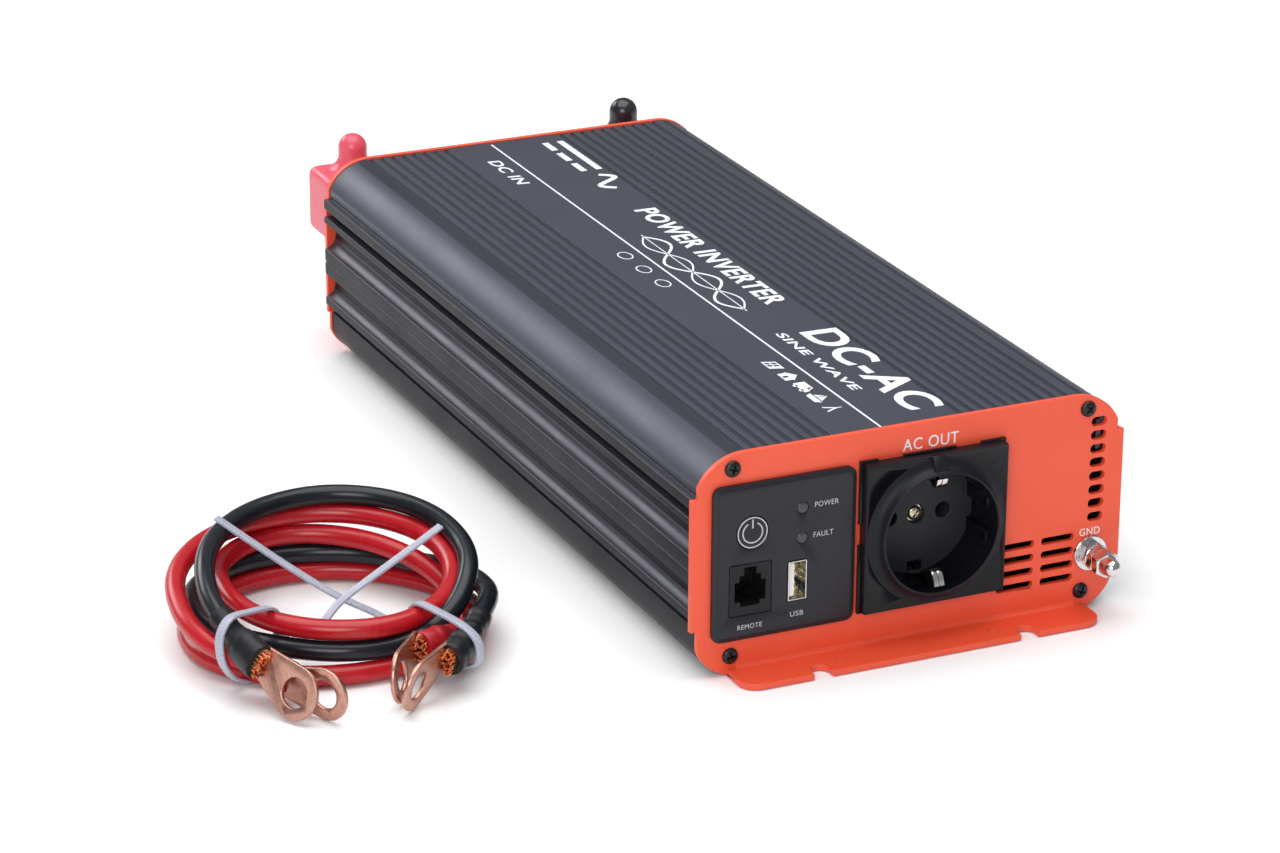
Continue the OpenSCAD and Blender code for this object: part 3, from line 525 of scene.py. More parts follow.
lens_smoke = finish("lens_smoke", (0.050, 0.050, 0.058), (0.062, 0.062, 0.070), 0.20, 0.04,
                    0.40, 0.001, patch=2, gloss=0.35, fleck=0.08)
plain_black = finish("plain_black", (0.020, 0.020, 0.023), (0.027, 0.027, 0.030), 0.42, 0.08,
                     0.25, 0.008, patch=6, fleck=0.15)
white_moulding = finish("white_moulding", (0.78, 0.78, 0.77), (0.70, 0.70, 0.70), 0.30, 0.06,
                        0.30, 0.003, patch=5, fleck=0.05)

# %% [markdown]
# Plated and bare metals are all metallic, and only the grain and colour tell them apart.
# The copper of the lugs is dull and slightly pink where it was stamped.

# %% Metals
nickel = finish("nickel", (0.62, 0.62, 0.63), (0.72, 0.71, 0.69), 0.20, 0.07,
                0.50, 0.003, metal=1.0, patch=4, fleck=0.06)
bright_wire = finish("bright_wire", (0.60, 0.60, 0.61), (0.68, 0.68, 0.68), 0.22, 0.06,
                     0.40, 0.003, metal=1.0, patch=6, fleck=0.06)
yellow_screw = finish("yellow_screw", (0.55, 0.48, 0.34), (0.68, 0.64, 0.52), 0.26, 0.08,
                      0.20, 0.006, metal=1.0, patch=1.5, fleck=0.20)
gold = finish("gold", (0.80, 0.58, 0.24), (0.86, 0.66, 0.32), 0.18, 0.05,
              0.20, 0.002, metal=1.0, patch=2, fleck=0.08)
brass = finish("brass", (0.62, 0.45, 0.18), (0.70, 0.53, 0.24), 0.26, 0.08,
               0.40, 0.004, metal=1.0, patch=4, fleck=0.10)
lug_copper = finish("lug_copper", (0.45, 0.225, 0.17), (0.60, 0.34, 0.265), 0.36, 0.09,
                    0.45, 0.010, metal=1.0, patch=2.6, fleck=0.16)
strand_copper = finish("strand_copper", (0.74, 0.26, 0.11), (0.86, 0.38, 0.19), 0.24, 0.08,
                       0.12, 0.003, metal=1.0, patch=0.8, fleck=0.15)
bar_copper = finish("bar_copper", (0.62, 0.30, 0.18), (0.70, 0.38, 0.24), 0.30, 0.08,
                    0.50, 0.006, metal=1.0, patch=5, fleck=0.10)
mill_aluminium = finish("mill_aluminium", (0.55, 0.56, 0.58), (0.62, 0.62, 0.64), 0.34, 0.06,
                        0.40, 0.006, metal=1.0, patch=8, stretch=(1, 0.08, 1), fleck=0.10)

# %% [markdown]
# The lead jackets are plasticised PVC: glossy, with a very slight orange peel from the
# extruder that wobbles the highlight. The shrunk sleeves are duller and wrinkled, and the
# terminal boots are dipped PVC, softer and slightly bloomed.

# %% Soft finishes
lead_red = finish("lead_red", (0.40, 0.005, 0.011), (0.47, 0.009, 0.016), 0.26, 0.04,
                  3.2, 0.012, patch=14, gloss=0.42, fleck=0.04)
lead_black = finish("lead_black", (0.006, 0.008, 0.012), (0.009, 0.011, 0.016), 0.26, 0.04,
                    3.2, 0.012, patch=14, gloss=0.34, fleck=0.06)
sleeve_black = finish("sleeve_black", (0.006, 0.007, 0.009), (0.011, 0.012, 0.014), 0.40, 0.08,
                      1.4, 0.060, patch=3.5, gloss=0.28, fleck=0.10)
sleeve_red = finish("sleeve_red", (0.34, 0.006, 0.012), (0.42, 0.010, 0.018), 0.38, 0.08,
                    1.4, 0.060, patch=3.5, gloss=0.38, fleck=0.08)
boot_red = finish("boot_red", (0.64, 0.070, 0.115), (0.72, 0.105, 0.150), 0.34, 0.07,
                  1.2, 0.020, patch=7, fleck=0.04)
boot_black = finish("boot_black", (0.014, 0.015, 0.019), (0.020, 0.021, 0.026), 0.22, 0.05,
                    1.2, 0.015, patch=7, fleck=0.08)
boot_red.node_tree.nodes["Principled BSDF"].inputs["Subsurface Weight"].default_value = 0.15
boot_red.node_tree.nodes["Principled BSDF"].inputs["Subsurface Scale"].default_value = 0.002
tie_nylon = finish("tie_nylon", (0.50, 0.52, 0.63), (0.58, 0.60, 0.70), 0.30, 0.05,
                   0.90, 0.002, patch=6, fleck=0.03)
tie_nylon.node_tree.nodes["Principled BSDF"].inputs["Transmission Weight"].default_value = 0.35
white_ink = finish("white_ink", (0.82, 0.83, 0.86), (0.74, 0.75, 0.79), 0.50, 0.05,
                   0.25, 0.002, patch=6, fleck=0.06)
grey_ink = finish("grey_ink", (0.46, 0.47, 0.50), (0.40, 0.41, 0.44), 0.48, 0.05,
                  0.20, 0.002, patch=3, fleck=0.08)

# %% [markdown]
# ## The battery leads
# Two thick leads, red and black, are wound together into one loose coil and tied twice.
# Each could be a helix, but a real coil is never even: the turns cross and ride over each
# other. So each lead is given by stations round the coil, as the turn in degrees, the
# distance from the middle and the height, and a loop draws the smooth line through them.
# The turns keep a lead's own thickness apart, so that nothing passes through anything else.

# %% Lead routes
COIL_MIDDLE = Vector((-162.0, -78.5, 0.0))
LEAD_D = 6.6
BLACK_STATIONS = [
    (226.7, 61.2, 15.7), (217, 55.5, 18.5), (206, 51, 21.5), (195, 47.5, 24), (180, 43.5, 26.5),
    (160, 40.5, 28), (126, 39.5, 29.2), (100, 41, 29.5), (75, 43, 29.5), (50, 43, 29),
    (28, 41.5, 28.5), (5, 41, 27), (-20, 41.8, 24), (-36, 42, 20.5), (-52, 42, 16),
    (-66, 40, 12), (-85, 38, 9.9), (-108, 37.2, 9.9), (-132, 36.5, 9.9), (-152, 38, 9.9),
    (-180, 43.5, 9.8), (-215, 47.5, 9.8), (-243, 46, 9.8), (-263, 43.8, 9.8), (-284, 41.5, 9.8),
    (-305, 40, 9.9), (-326, 39, 10.4), (-345, 41, 11.5), (-358, 43.5, 12.3), (-372, 46.2, 13),
    (-385, 48, 14), (-397, 49, 15), (-411, 51, 15), (-424, 55, 13.5), (-435.7, 60, 11.6)]
RED_STATIONS = [
    (235.5, 55.8, 8.7), (227, 52.4, 9.8), (218, 53, 11.8), (207, 55.5, 14), (193, 54, 16), (177, 51.7, 17.8),
    (156, 50.5, 19.8), (130, 49, 21.5), (108, 46.5, 22.6), (86, 44.3, 23), (65, 42.3, 23),
    (42, 40, 22.7), (20, 38.5, 22), (-5, 37.2, 20.8), (-30, 37, 18.6), (-45, 36.8, 17.4),
    (-62, 36.8, 16.7), (-84, 37.2, 16.5), (-107, 36, 16.5), (-132, 34.7, 16.5), (-155, 34.2, 16.5),
    (-182, 34.2, 16.5), (-205, 36.8, 16.3), (-230, 42, 16.1), (-255, 45, 16.3), (-274, 43.4, 16.4),
    (-295, 38.7, 16.4), (-320, 34.2, 16), (-340, 34.8, 14), (-358, 36.8, 11), (-372, 39, 8),
    (-386, 41, 5), (-400, 41.8, 3.5), (-420, 41.5, 3.4), (-445, 39.3, 3.4), (-468, 40.2, 3.4),
    (-490, 42.5, 3.4), (-515, 46.5, 3.4), (-535, 48.2, 3.4), (-560, 47.5, 3.4), (-590, 45.5, 3.4),
    (-622, 43.4, 3.4), (-655, 41.5, 3.4), (-680, 41, 3.4), (-705, 42.5, 3.4), (-725, 44.5, 3.4),
    (-742, 46, 5.5), (-757, 46.5, 8.5), (-772, 46.5, 10.8), (-787, 47.6, 11.9), (-798, 48.6, 12)]


def calm(line, passes):
    """Evens out the small kinks at the stations; both ends stay where they are."""
    for _ in range(passes):
        middle = [(a + 2 * b + c) / 4 for a, b, c in zip(line, line[1:], line[2:])]
        line = [line[0]] + middle + [line[-1]]
    return line


CALM_PASSES = 24


def lead_line(stations, steps=14):
    line = []
    for turn, reach, height in through(stations, steps):
        angle = math.radians(turn)
        spot = COIL_MIDDLE + Vector((reach * math.cos(angle), reach * math.sin(angle), height))
        line.append(spot * MM)
    return calm(line, CALM_PASSES)


def length_of(line):
    return sum((b - a).length for a, b in zip(line, line[1:]))


black_line = lead_line(BLACK_STATIONS)
red_line = lead_line(RED_STATIONS)
print("black lead", round(length_of(black_line), 3), "m; red lead", round(length_of(red_line), 3), "m")


# %% Leads
def lead(name, line, material):
    curve = bpy.data.curves.new(name, "CURVE")
    curve.dimensions = "3D"
    curve.bevel_depth = LEAD_D / 2 * MM
    curve.bevel_resolution = 6
    curve.use_fill_caps = True
    spline = curve.splines.new("POLY")
    spline.points.add(len(line) - 1)
    for point, spot in zip(spline.points, line):
        point.co = (*spot, 1)
    spline.use_smooth = True
    curve.materials.append(material)
    return link(name, curve)


black_lead = adopt(lead("black_battery_lead", black_line, lead_black), "lead_set", "lead_black",
                   "black_lead_coil")
red_lead = adopt(lead("red_battery_lead", red_line, lead_red), "lead_set", "lead_red",
                 "red_lead_coil")

# %% [markdown]
# ## Sleeves on the lead ends
# A shrunk sleeve covers the joint of lead and lug. It clings to the lead, swells over the
# lug's barrel and wrinkles where it bends. It could be a plain tube with a bump, but the
# wrinkles show in the outline, so the section's size changes along the sleeve.


# %% Sleeves
def stretch_of(line, start, end):
    """The part of a line between two distances from its first point, in millimetres."""
    out, gone = [], 0.0
    for a, b in zip(line, line[1:]):
        if start <= gone / MM <= end:
            out.append(a)
        gone += (b - a).length
    return out


def even(line, step):
    """The same line with points a fixed distance apart."""
    out, left = [line[0].copy()], step * MM
    for a, b in zip(line, line[1:]):
        span = (b - a).length
        at = left
        while at <= span:
            out.append(a.lerp(b, at / span))
            at += step * MM
        left = at - span
    return out + [line[-1].copy()]


def finer(line, steps):
    out = []
    for a, b in zip(line, line[1:]):
        out += [a.lerp(b, k / steps) for k in range(steps)]
    return out + [line[-1]]


SNUG = 3.75


def sleeve(name, line, length, wide, thin, wrinkle, face):
    """It starts at the lug, wide across and thin along face, and ends in a small collar."""
    part = even(stretch_of(line, 0, length), 0.35)
    sizes = []
    for i in range(len(part)):
        t = i / (len(part) - 1)
        barrel = 1 / (1 + math.exp((t - 0.50) * 16))
        fold = wrinkle * (math.sin(23 * t) * 0.5 + math.sin(41 * t + 1.3) * 0.3) * math.sin(math.pi * t)
        collar = 0.35 / (1 + math.exp((0.88 - t) * 60)) - 0.6 / (1 + math.exp((0.993 - t) * 400))
        lip = 0.3 * math.exp(-i / 1.5)
        sizes.append((SNUG + (wide - SNUG) * barrel + fold + collar - lip,
                      SNUG + (thin - SNUG) * barrel + fold * 0.7 + collar - lip))
    return swept(name, part, ring(0, 0, 1.0, 32), sizes, first_up=face)


def tail_of(line):
    return list(reversed(line))


FACE_LF, FACE_LB = (-0.75, -0.61, 0.25), (0.90, 0.42, 0.0)
FACE_RF, FACE_RB = (0.50, -0.83, -0.25), (0.66, -0.75, 0.05)
black_left_sleeve = sleeve("black_sleeve_left", black_line, 25, 5.9, 4.9, 0.10, FACE_LF)
black_right_sleeve = sleeve("black_sleeve_right", tail_of(black_line), 27, 5.7, 4.9, 0.45, FACE_RF)
black_sleeves = joined("black_sleeves", [black_left_sleeve, black_right_sleeve])
adopt(wear(black_sleeves, sleeve_black), "lead_set", "sleeve_black", "black_lead_sleeves")
red_left_sleeve = sleeve("red_sleeve_left", red_line, 24, 5.5, 4.7, 0.10, FACE_LB)
red_right_sleeve = sleeve("red_sleeve_right", tail_of(red_line), 20, 5.5, 4.7, 0.25, FACE_RB)
red_sleeves = joined("red_sleeves", [red_left_sleeve, red_right_sleeve])
adopt(wear(red_sleeves, sleeve_red), "lead_set", "sleeve_red", "red_lead_sleeves")

# %% [markdown]
# ## Copper lugs
# Each lug is pressed from copper: a ring with a hole, a neck that widens to the barrel, and
# the barrel rolled round the bare wire. Its strands show at the mouth of the barrel, cut a
# little unevenly. The flat part is a plate with eased edges, the barrel is swept, and the
# strands are short bent rods in rings.

# %% One lug, lying along X with its hole at the origin
LUG_T = 1.5
LUG_HOLE_R = 4.7
LUG_RING_R = 8.5
LUG_L = 15.6
LUG_HALF = 5.1
BARREL_UP = 2.7


def lug_outline():
    """Ring and neck in one: the sides run from the barrel to where they touch the ring."""
    far = math.hypot(LUG_L, LUG_HALF)
    touch = math.atan2(LUG_HALF, -LUG_L) - math.acos(LUG_RING_R / far)
    out = []
    for i in range(49):
        angle = -touch + 2 * touch * i / 48
        out.append((LUG_RING_R * math.cos(angle), LUG_RING_R * math.sin(angle)))
    neck = [(-LUG_L, LUG_HALF), (-LUG_L - 3, LUG_HALF - 0.6),
            (-LUG_L - 3, 0.6 - LUG_HALF), (-LUG_L, -LUG_HALF)]
    return out + neck


def lug_parts(name):
    flat = plate(name + "_flat", [lug_outline(), ring(0, 0, LUG_HOLE_R, 56)], -LUG_T / 2,
                 LUG_T / 2, edge=0.4, steps=3)
    flat.data.transform(Matrix.Rotation(math.radians(-90), 4, "X"))
    line = [Vector((x * MM, 0, BARREL_UP * MM)) for x in (-LUG_L - 4, -LUG_L - 2.4, -LUG_L - 0.6)]
    barrel = swept(name + "_barrel", line, ring(0, 0, 3.7, 32), [(1.15, 0.9), (1.2, 0.88), (1.28, 0.86)],
                   caps=False)
    wall = barrel.modifiers.new("wall", "SOLIDIFY")
    wall.thickness = 0.9 * MM
    wall.offset = -1
    settled(barrel)
    wires = []
    rings_of_wire = [(0.0, 1), (0.85, 6), (1.7, 12), (2.55, 17), (3.3, 21)]
    for row, (reach, count) in enumerate(rings_of_wire):
        for k in range(count):
            angle = 2 * math.pi * k / count + row * 0.4
            y, z = reach * math.cos(angle) * 1.36, reach * math.sin(angle) * 0.66 + BARREL_UP - 0.1
            out = 0.8 * math.sin(7.3 * k + 2.1 * row) + 0.4 * math.cos(3.1 * k)
            lean = 0.6 * math.sin(5.0 * k + row)
            route = [Vector((-LUG_L - 2, y, z)) * MM, Vector((-LUG_L + 0.4, y, z)) * MM,
                     Vector((-LUG_L + 2.0 + out, y * 1.04 + lean * 0.5, z * 0.96 + 0.1)) * MM]
            wires.append(swept(f"{name}_wire{row}_{k}", through(route, 3), ring(0, 0, 0.42, 8)))
    return flat, barrel, joined(name + "_strands", wires)


def lug_place(mouth, hole, face):
    """The plate runs from under the lead's end to the hole, and faces the given way."""
    hole, face = Vector(hole) * MM, Vector(face).normalized()
    along = (hole - (Vector(mouth) - face * BARREL_UP * MM)).normalized()
    up = (face - along * face.dot(along)).normalized()
    side = up.cross(along)
    turn = Matrix((along, side, up)).transposed().to_4x4()
    return Matrix.Translation(hole) @ turn


LUGS = [(black_line[0], (-196.7, -134.2, 8.9), FACE_LF), (red_line[0], (-188.6, -138.2, 8.7), FACE_LB),
        (black_line[-1], (-160.8, -143.9, 8.9), FACE_RF), (red_line[-1], (-163.3, -136.4, 9.2), FACE_RB)]
copper_parts, strand_parts = [], []
for i, (mouth, hole, face) in enumerate(LUGS):
    flat, barrel, strands = lug_parts(f"lug{i}")
    for part in (flat, barrel, strands):
        part.data.transform(lug_place(mouth, hole, face))
    reach = (Vector(hole) * MM - Vector(mouth)).length
    print("lug", i, "from the lead's end to its hole:", round(reach / MM, 1), "mm")
    copper_parts += [flat, barrel]
    strand_parts.append(strands)
lugs = adopt(wear(joined("copper_lugs", copper_parts), lug_copper), "lead_set", "lug_copper", "ring_lugs")
lug_strands = wear(joined("lug_strands", strand_parts), strand_copper)
adopt(lug_strands, "lead_set", "lug_copper")
print("lugs:", len(LUGS), "with", len(lug_strands.data.polygons), "faces of strands")

# %% [markdown]
# ## Cable ties
# Two nylon ties hold the coil. Each is a strap with fine teeth on its inner face, drawn
# round all the turns, through a small head, with its long end left uncut across the coil.
# The teeth are real ridges, because light catches on every one of them.

# %% Tie bands and straps
STRAP_W = 3.0
STRAP_T = 1.0
STRAP_REST = 0.75
TOOTH = 1.1


def strap_section(width=STRAP_W, thick=STRAP_T):
    return eased([(-width / 2, -thick / 2), (width / 2, -thick / 2), (width / 2, thick / 2),
                  (-width / 2, thick / 2)], 0.3, 2)


def toothed(line, swing=0.16):
    fine = finer(line, 2)
    gone, out, sizes = 0.0, [], []
    for i, spot in enumerate(fine):
        if i:
            gone += (spot - fine[i - 1]).length / MM
        out.append(spot)
        sizes.append((1.0, 1.0 + swing * math.sin(2 * math.pi * gone / TOOTH)))
    return out, sizes


def strap(name, line, first_up, width=STRAP_W):
    spots, sizes = toothed(even(line, 0.5))
    return swept(name, spots, strap_section(width), sizes, first_up=first_up, sharp=60)


def band_line(angle, loop):
    """loop is the way round the bundle, as distances from the middle and heights."""
    turn = math.radians(angle)
    out = []
    for reach, height in loop:
        spot = COIL_MIDDLE + Vector((reach * math.cos(turn), reach * math.sin(turn), height))
        out.append(spot * MM)
    return out


def off_floor(line):
    return [Vector((p.x, p.y, max(p.z, STRAP_REST * MM))) for p in line]


LEFT_LOOP = [(30.2, 16.5), (34.4, 20.9), (44, 23.4), (54, 25.2), (58.9, 22.6), (60.4, 18), (58.8, 11),
             (53.5, 4.5), (46, 0.8), (40, 3), (34.5, 6), (31.2, 11), (30.2, 16.5)]
RIGHT_LOOP = [(32.8, 16.6), (36.6, 20.9), (46, 20.6), (56, 19.2), (61.8, 16.6), (63.4, 12.4), (62, 8),
              (56, 5.4), (49, 2.6), (42, 0.8), (37, 2), (34.6, 8), (32.8, 16.6)]
LEFT_TIE, RIGHT_TIE = 213, -67
ties = []
for name, angle, loop in (("left", LEFT_TIE, LEFT_LOOP), ("right", RIGHT_TIE, RIGHT_LOOP)):
    line = off_floor(through(band_line(angle, loop), 8))
    outward = Vector((-math.cos(math.radians(angle)), -math.sin(math.radians(angle)), 0.3))
    ties.append(strap(f"tie_{name}_band", line, outward))
ACROSS = [
    [(-191.8, -51, 33.6), (-183.5, -60, 27.5), (-173.6, -69, 20.2), (-162, -79, 12.6), (-151.3, -87.2, 7.4),
     (-147.5, -98, 5.4), (-149.4, -106, 8)],
    [(-127.3, -81.3, 31.5), (-137, -83.0, 27.0), (-146.7, -85.2, 23), (-165.1, -91.0, 16.2), (-176, -99, 12),
     (-183, -99.5, 10), (-187.4, -97.4, 9)]]
for k, stations in enumerate(ACROSS):
    line = through([Vector(p) * MM for p in stations], 10)
    ties.append(strap(f"tie_end_{k}", line, (0, 0, 1)))

# %% Tie heads
HEAD_W, HEAD_L, HEAD_T = 4.8, 5.2, 4.2
LEFT_HEAD, RIGHT_HEAD = (-187.6, -96.6, 8.6), (-149.6, -107.6, 8.6)
for name, place, angle in (("left", LEFT_HEAD, LEFT_TIE), ("right", RIGHT_HEAD, RIGHT_TIE)):
    outline = eased([(-HEAD_W / 2, -HEAD_L / 2), (HEAD_W / 2, -HEAD_L / 2), (HEAD_W / 2, HEAD_L / 2),
                     (-HEAD_W / 2, HEAD_L / 2)], 1.0, 4)
    head = plate(f"tie_{name}_head", [outline, block(0, 0, 3.4, 1.4, 0.3, 2)], -HEAD_T / 2,
                 HEAD_T / 2, edge=0.5, steps=3)
    spin = Matrix.Rotation(math.radians(angle + 90), 4, "Z")
    head.data.transform(Matrix.Translation(Vector(place) * MM) @ spin)
    ties.append(head)
tie_set = adopt(wear(joined("tie_set", ties), tie_nylon), "lead_set", "tie_nylon", "cable_ties")

# %% [markdown]
# ## The case
# The cover and the base are two extrusions that meet at a seam, and the grooves and fins
# run their whole length. An eased copy of each could serve, but the grooves come out cleaner
# when the outline is drawn anew. The rounding is small, because a die leaves an edge of a few
# tenths of a millimetre. The floors of the grooves take a second material as painted shade, and
# the up-facing faces of the base take one as a painted highlight. The end plates are plain
# punched sheets with feet, so they are eased copies.

# %% Extrusions and end plates
def two_materials(piece, main, other, belongs):
    """Gives the second material to the faces for which belongs is true; on the cover it is painted shade in
    the grooves, on the base a painted highlight on the up-facing faces.
    """
    wear(piece, main).data.materials.append(other)
    for polygon in piece.data.polygons:
        polygon.material_index = 1 if belongs(polygon) else 0
    return piece


COVER_TOP = 73.6
GROOVES_END = 62.0
GROOVE_FLOOR, GROOVE_LIP = COVER_TOP - 0.7, COVER_TOP - 0.1
FIN_TOP_SLOPE = 0.3


# The floors of the grooves, which get the painted shade.
def in_groove(polygon):
    middle = polygon.center / MM
    return abs(middle.x) < GROOVES_END and GROOVE_FLOOR < middle.z < GROOVE_LIP


# The up-facing faces of the base, which get the painted highlight.
def on_fin_top(polygon):
    return polygon.normal.z > FIN_TOP_SLOPE


# The cover, with painted shade on the floors of its grooves.
cover = two_materials(extrusion("top_cover", 0.45), case_coat, groove_shade_coat, in_groove)
adopt(cover, "case", "case_dark", "top_cover")
# The base, with a painted highlight on its up-facing faces.
base = two_materials(extrusion("base_extrusion", 0.35), base_coat, fin_top_highlight_coat, on_fin_top)
adopt(base, "case", "case_base", "base_extrusion")
for node in ("front_plate", "back_plate"):
    adopt(wear(eased_copy(node, 0.22), orange_coat), "case", "panel_orange", node)
print("cover faces:", len(cover.data.polygons), "base faces:", len(base.data.polygons))

# %% [markdown]
# ## Pan head screws
# Every screw here has a domed head and a cross recess that tapers inwards. The recess could
# be painted on, but it is deep and dark, so it is cut: two tapered bars make the cross, and
# the head has it taken away.


# %% One screw head, facing -Y
def box_between(name, near, far, y0, y1):
    """A bar that tapers from its near section to its far one, each (width, height) in mm."""
    points = []
    for (width, height), y in ((near, y0), (far, y1)):
        for a, b in ((-1, -1), (1, -1), (1, 1), (-1, 1)):
            points.append(Vector((a * width / 2, y, b * height / 2)) * MM)
    faces = [[0, 1, 2, 3], [7, 6, 5, 4], [0, 4, 5, 1], [1, 5, 6, 2], [2, 6, 7, 3], [3, 7, 4, 0]]
    return piece_from(name, points, faces)


def cut(piece, tool):
    carve = piece.modifiers.new("cut", "BOOLEAN")
    carve.operation = "DIFFERENCE"
    carve.solver = "EXACT"
    carve.object = tool
    settled(piece)
    bpy.data.objects.remove(tool)
    smooth_by_angle(piece.data)
    return piece


def screw_head(name, radius, height, turn=20.0):
    """Its underside is at y = 0 and its axis is the Y axis."""
    dome = [(0, -height), (radius * 0.35, -height), (radius * 0.62, -height * 0.92),
            (radius * 0.85, -height * 0.72), (radius * 0.97, -height * 0.42), (radius, -height * 0.15),
            (radius * 0.97, 0), (0, 0)]
    head = turned(name, dome, 0, 0, 48)
    reach = radius * 1.25
    slot_w = radius * 0.30
    wide = ((reach, slot_w), (reach * 0.5, slot_w * 0.5))
    tall = ((slot_w, reach), (slot_w * 0.5, reach * 0.5))
    cross = []
    for near, far in (wide, tall):
        cross.append(box_between(name + "_bar", near, far, -height - 0.1, -height * 0.18))
    for bar in cross:
        cut(head, bar)
    head.data.transform(Matrix.Rotation(math.radians(turn), 4, "Y"))
    return head


def screws_at(name, places, y, radius, height, facing=-1):
    heads = []
    for i, (x, z) in enumerate(places):
        head = screw_head(f"{name}_{i}", radius, height, turn=17 + 31 * i)
        if facing > 0:
            head.data.transform(Matrix.Rotation(math.pi, 4, "Z"))
        head.data.transform(Matrix.Translation((x * MM, y * MM, z * MM)))
        heads.append(head)
    return joined(name, heads)


CASE_L = 317.0
Y_FRONT = -CASE_L / 2
Y_BACK = CASE_L / 2
CORNERS = [(-62.45, 69.1), (62.45, 69.1), (-62.45, 6.5), (62.45, 6.5)]
front_screws = screws_at("front_screw_heads", CORNERS, Y_FRONT, 2.7, 1.4)
adopt(wear(front_screws, screw_black), "case", "black_screw", "front_plate_screws")
back_screws = screws_at("back_screw_heads", CORNERS, Y_BACK, 2.7, 1.4, facing=1)
adopt(wear(back_screws, screw_black), "case", "black_screw", "back_plate_screws")

# %% [markdown]
# ## Control panel
# The panel is one moulding with a sloped border and round corners, and holes for the
# button, the lights, the jack and the USB port. The border is what makes it read as a
# moulding: a flat face, a crisp line, and a slope that picks up the light.

# %% Panel moulding
PANEL_X, PANEL_Z, PANEL_W, PANEL_H = -44.85, 37.9, 49.0, 51.8
PANEL_FACE = Y_FRONT - 2.0
BORDER = 1.3
BUTTON = (-56.2, 47.7)
BUTTON_R = 5.4
LED_X, LED_ZS, LED_R = -38.85, (52.9, 42.9), 1.85
JACK = (-56.65, 28.8, 14.3, 17.0)
USB = (-40.5, 29.0, 6.4, 13.1)


def sloped_frame(name, inner_w, inner_h, outer_w, outer_h, y_in, y_out, corner):
    """The sloped border between the panel's flat face and its side, then the side itself."""
    inner = block(PANEL_X, PANEL_Z, inner_w, inner_h, corner - 0.9, 8)
    outer = block(PANEL_X, PANEL_Z, outer_w, outer_h, corner, 8)
    rows = [(inner, y_in + 0.5), (inner, y_in), (outer, y_out - 0.25), (outer, Y_FRONT + 0.2)]
    points, faces = [], []
    count = len(inner)
    for outline, y in rows:
        points += [Vector((x, y, z)) * MM for x, z in outline]
    for r in range(len(rows) - 1):
        for i in range(count):
            j = (i + 1) % count
            faces.append([r * count + i, r * count + j, (r + 1) * count + j, (r + 1) * count + i])
    return piece_from(name, points, faces, 24.0)


holes = [ring(*BUTTON, BUTTON_R + 0.15, 64), ring(LED_X, LED_ZS[0], LED_R + 0.1, 32),
         ring(LED_X, LED_ZS[1], LED_R + 0.1, 32), block(*JACK[:2], JACK[2] + 0.3, JACK[3] + 0.3, 0.4, 3),
         block(*USB[:2], USB[2] + 0.5, USB[3] + 0.5, 0.6, 3)]
face_outline = block(PANEL_X, PANEL_Z, PANEL_W - 2 * BORDER + 0.02, PANEL_H - 2 * BORDER + 0.02, 2.5, 8)
panel_face = plate("panel_face", [face_outline] + holes, PANEL_FACE, Y_FRONT, edge=0.26, steps=3)
panel_border = sloped_frame("panel_border", PANEL_W - 2 * BORDER, PANEL_H - 2 * BORDER, PANEL_W, PANEL_H,
                            PANEL_FACE, PANEL_FACE + 0.75, 3.4)
panel = joined("panel_moulding", [panel_face, panel_border])
smooth_by_angle(panel.data, 24.0)
adopt(wear(panel, panel_black), "case", "black_panel", "control_panel")

# %% [markdown]
# The button is a disc with a barely domed face. Its ring and its mark are printed, so they
# are thin raised shapes in grey ink: a full ring, an open ring and a short bar, the usual
# mark for standby.


# %% Power button and its mark
def arc_strip(name, x, z, radius, width, start, end, y, rise=0.06, steps=56):
    """A flat printed arc; angles in degrees from +X towards +Z."""
    outer, inner = [], []
    far, near = radius + width / 2, radius - width / 2
    for i in range(steps + 1):
        angle = math.radians(start + (end - start) * i / steps)
        outer.append((x + far * math.cos(angle), z + far * math.sin(angle)))
        inner.append((x + near * math.cos(angle), z + near * math.sin(angle)))
    if end - start >= 360:
        return plate(name, [outer[:-1], inner[:-1]], y - rise, y, edge=0)
    return plate(name, [outer + inner[::-1]], y - rise, y, edge=0)


BUTTON_FACE = PANEL_FACE - 0.05
cap_profile = [(0, BUTTON_FACE), (4.6, BUTTON_FACE + 0.02), (5.15, BUTTON_FACE + 0.08),
               (BUTTON_R, BUTTON_FACE + 0.35), (BUTTON_R, Y_FRONT + 0.6), (1.9, Y_FRONT + 0.6),
               (1.9, Y_FRONT + 3.5), (0, Y_FRONT + 3.5)]
button = turned("button_cap", cap_profile, *BUTTON, 72)
adopt(wear(button, button_satin), "power_button", "button_plastic", "power_button")
marks = [arc_strip("button_ring", *BUTTON, 4.95, 0.42, 0, 360, BUTTON_FACE + 0.05),
         arc_strip("button_arc", *BUTTON, 3.35, 0.46, 118, 422, BUTTON_FACE + 0.01),
         plate("button_bar", [block(BUTTON[0], BUTTON[1] + 2.9, 0.5, 3.0, 0.2, 3)], BUTTON_FACE - 0.05,
               BUTTON_FACE + 0.01, edge=0)]
adopt(wear(joined("button_mark", marks), grey_ink), "power_button", "button_plastic")

# %% Indicator lenses
for node, z in zip(("power_led", "fault_led"), LED_ZS):
    dome = [(0, PANEL_FACE - 0.22), (0.8, PANEL_FACE - 0.18), (1.4, PANEL_FACE - 0.05),
            (LED_R, PANEL_FACE + 0.3), (LED_R, Y_FRONT + 3), (0, Y_FRONT + 3)]
    adopt(wear(turned(node + "_lens", dome, LED_X, z, 32), lens_smoke), "case", "led_lens", node)

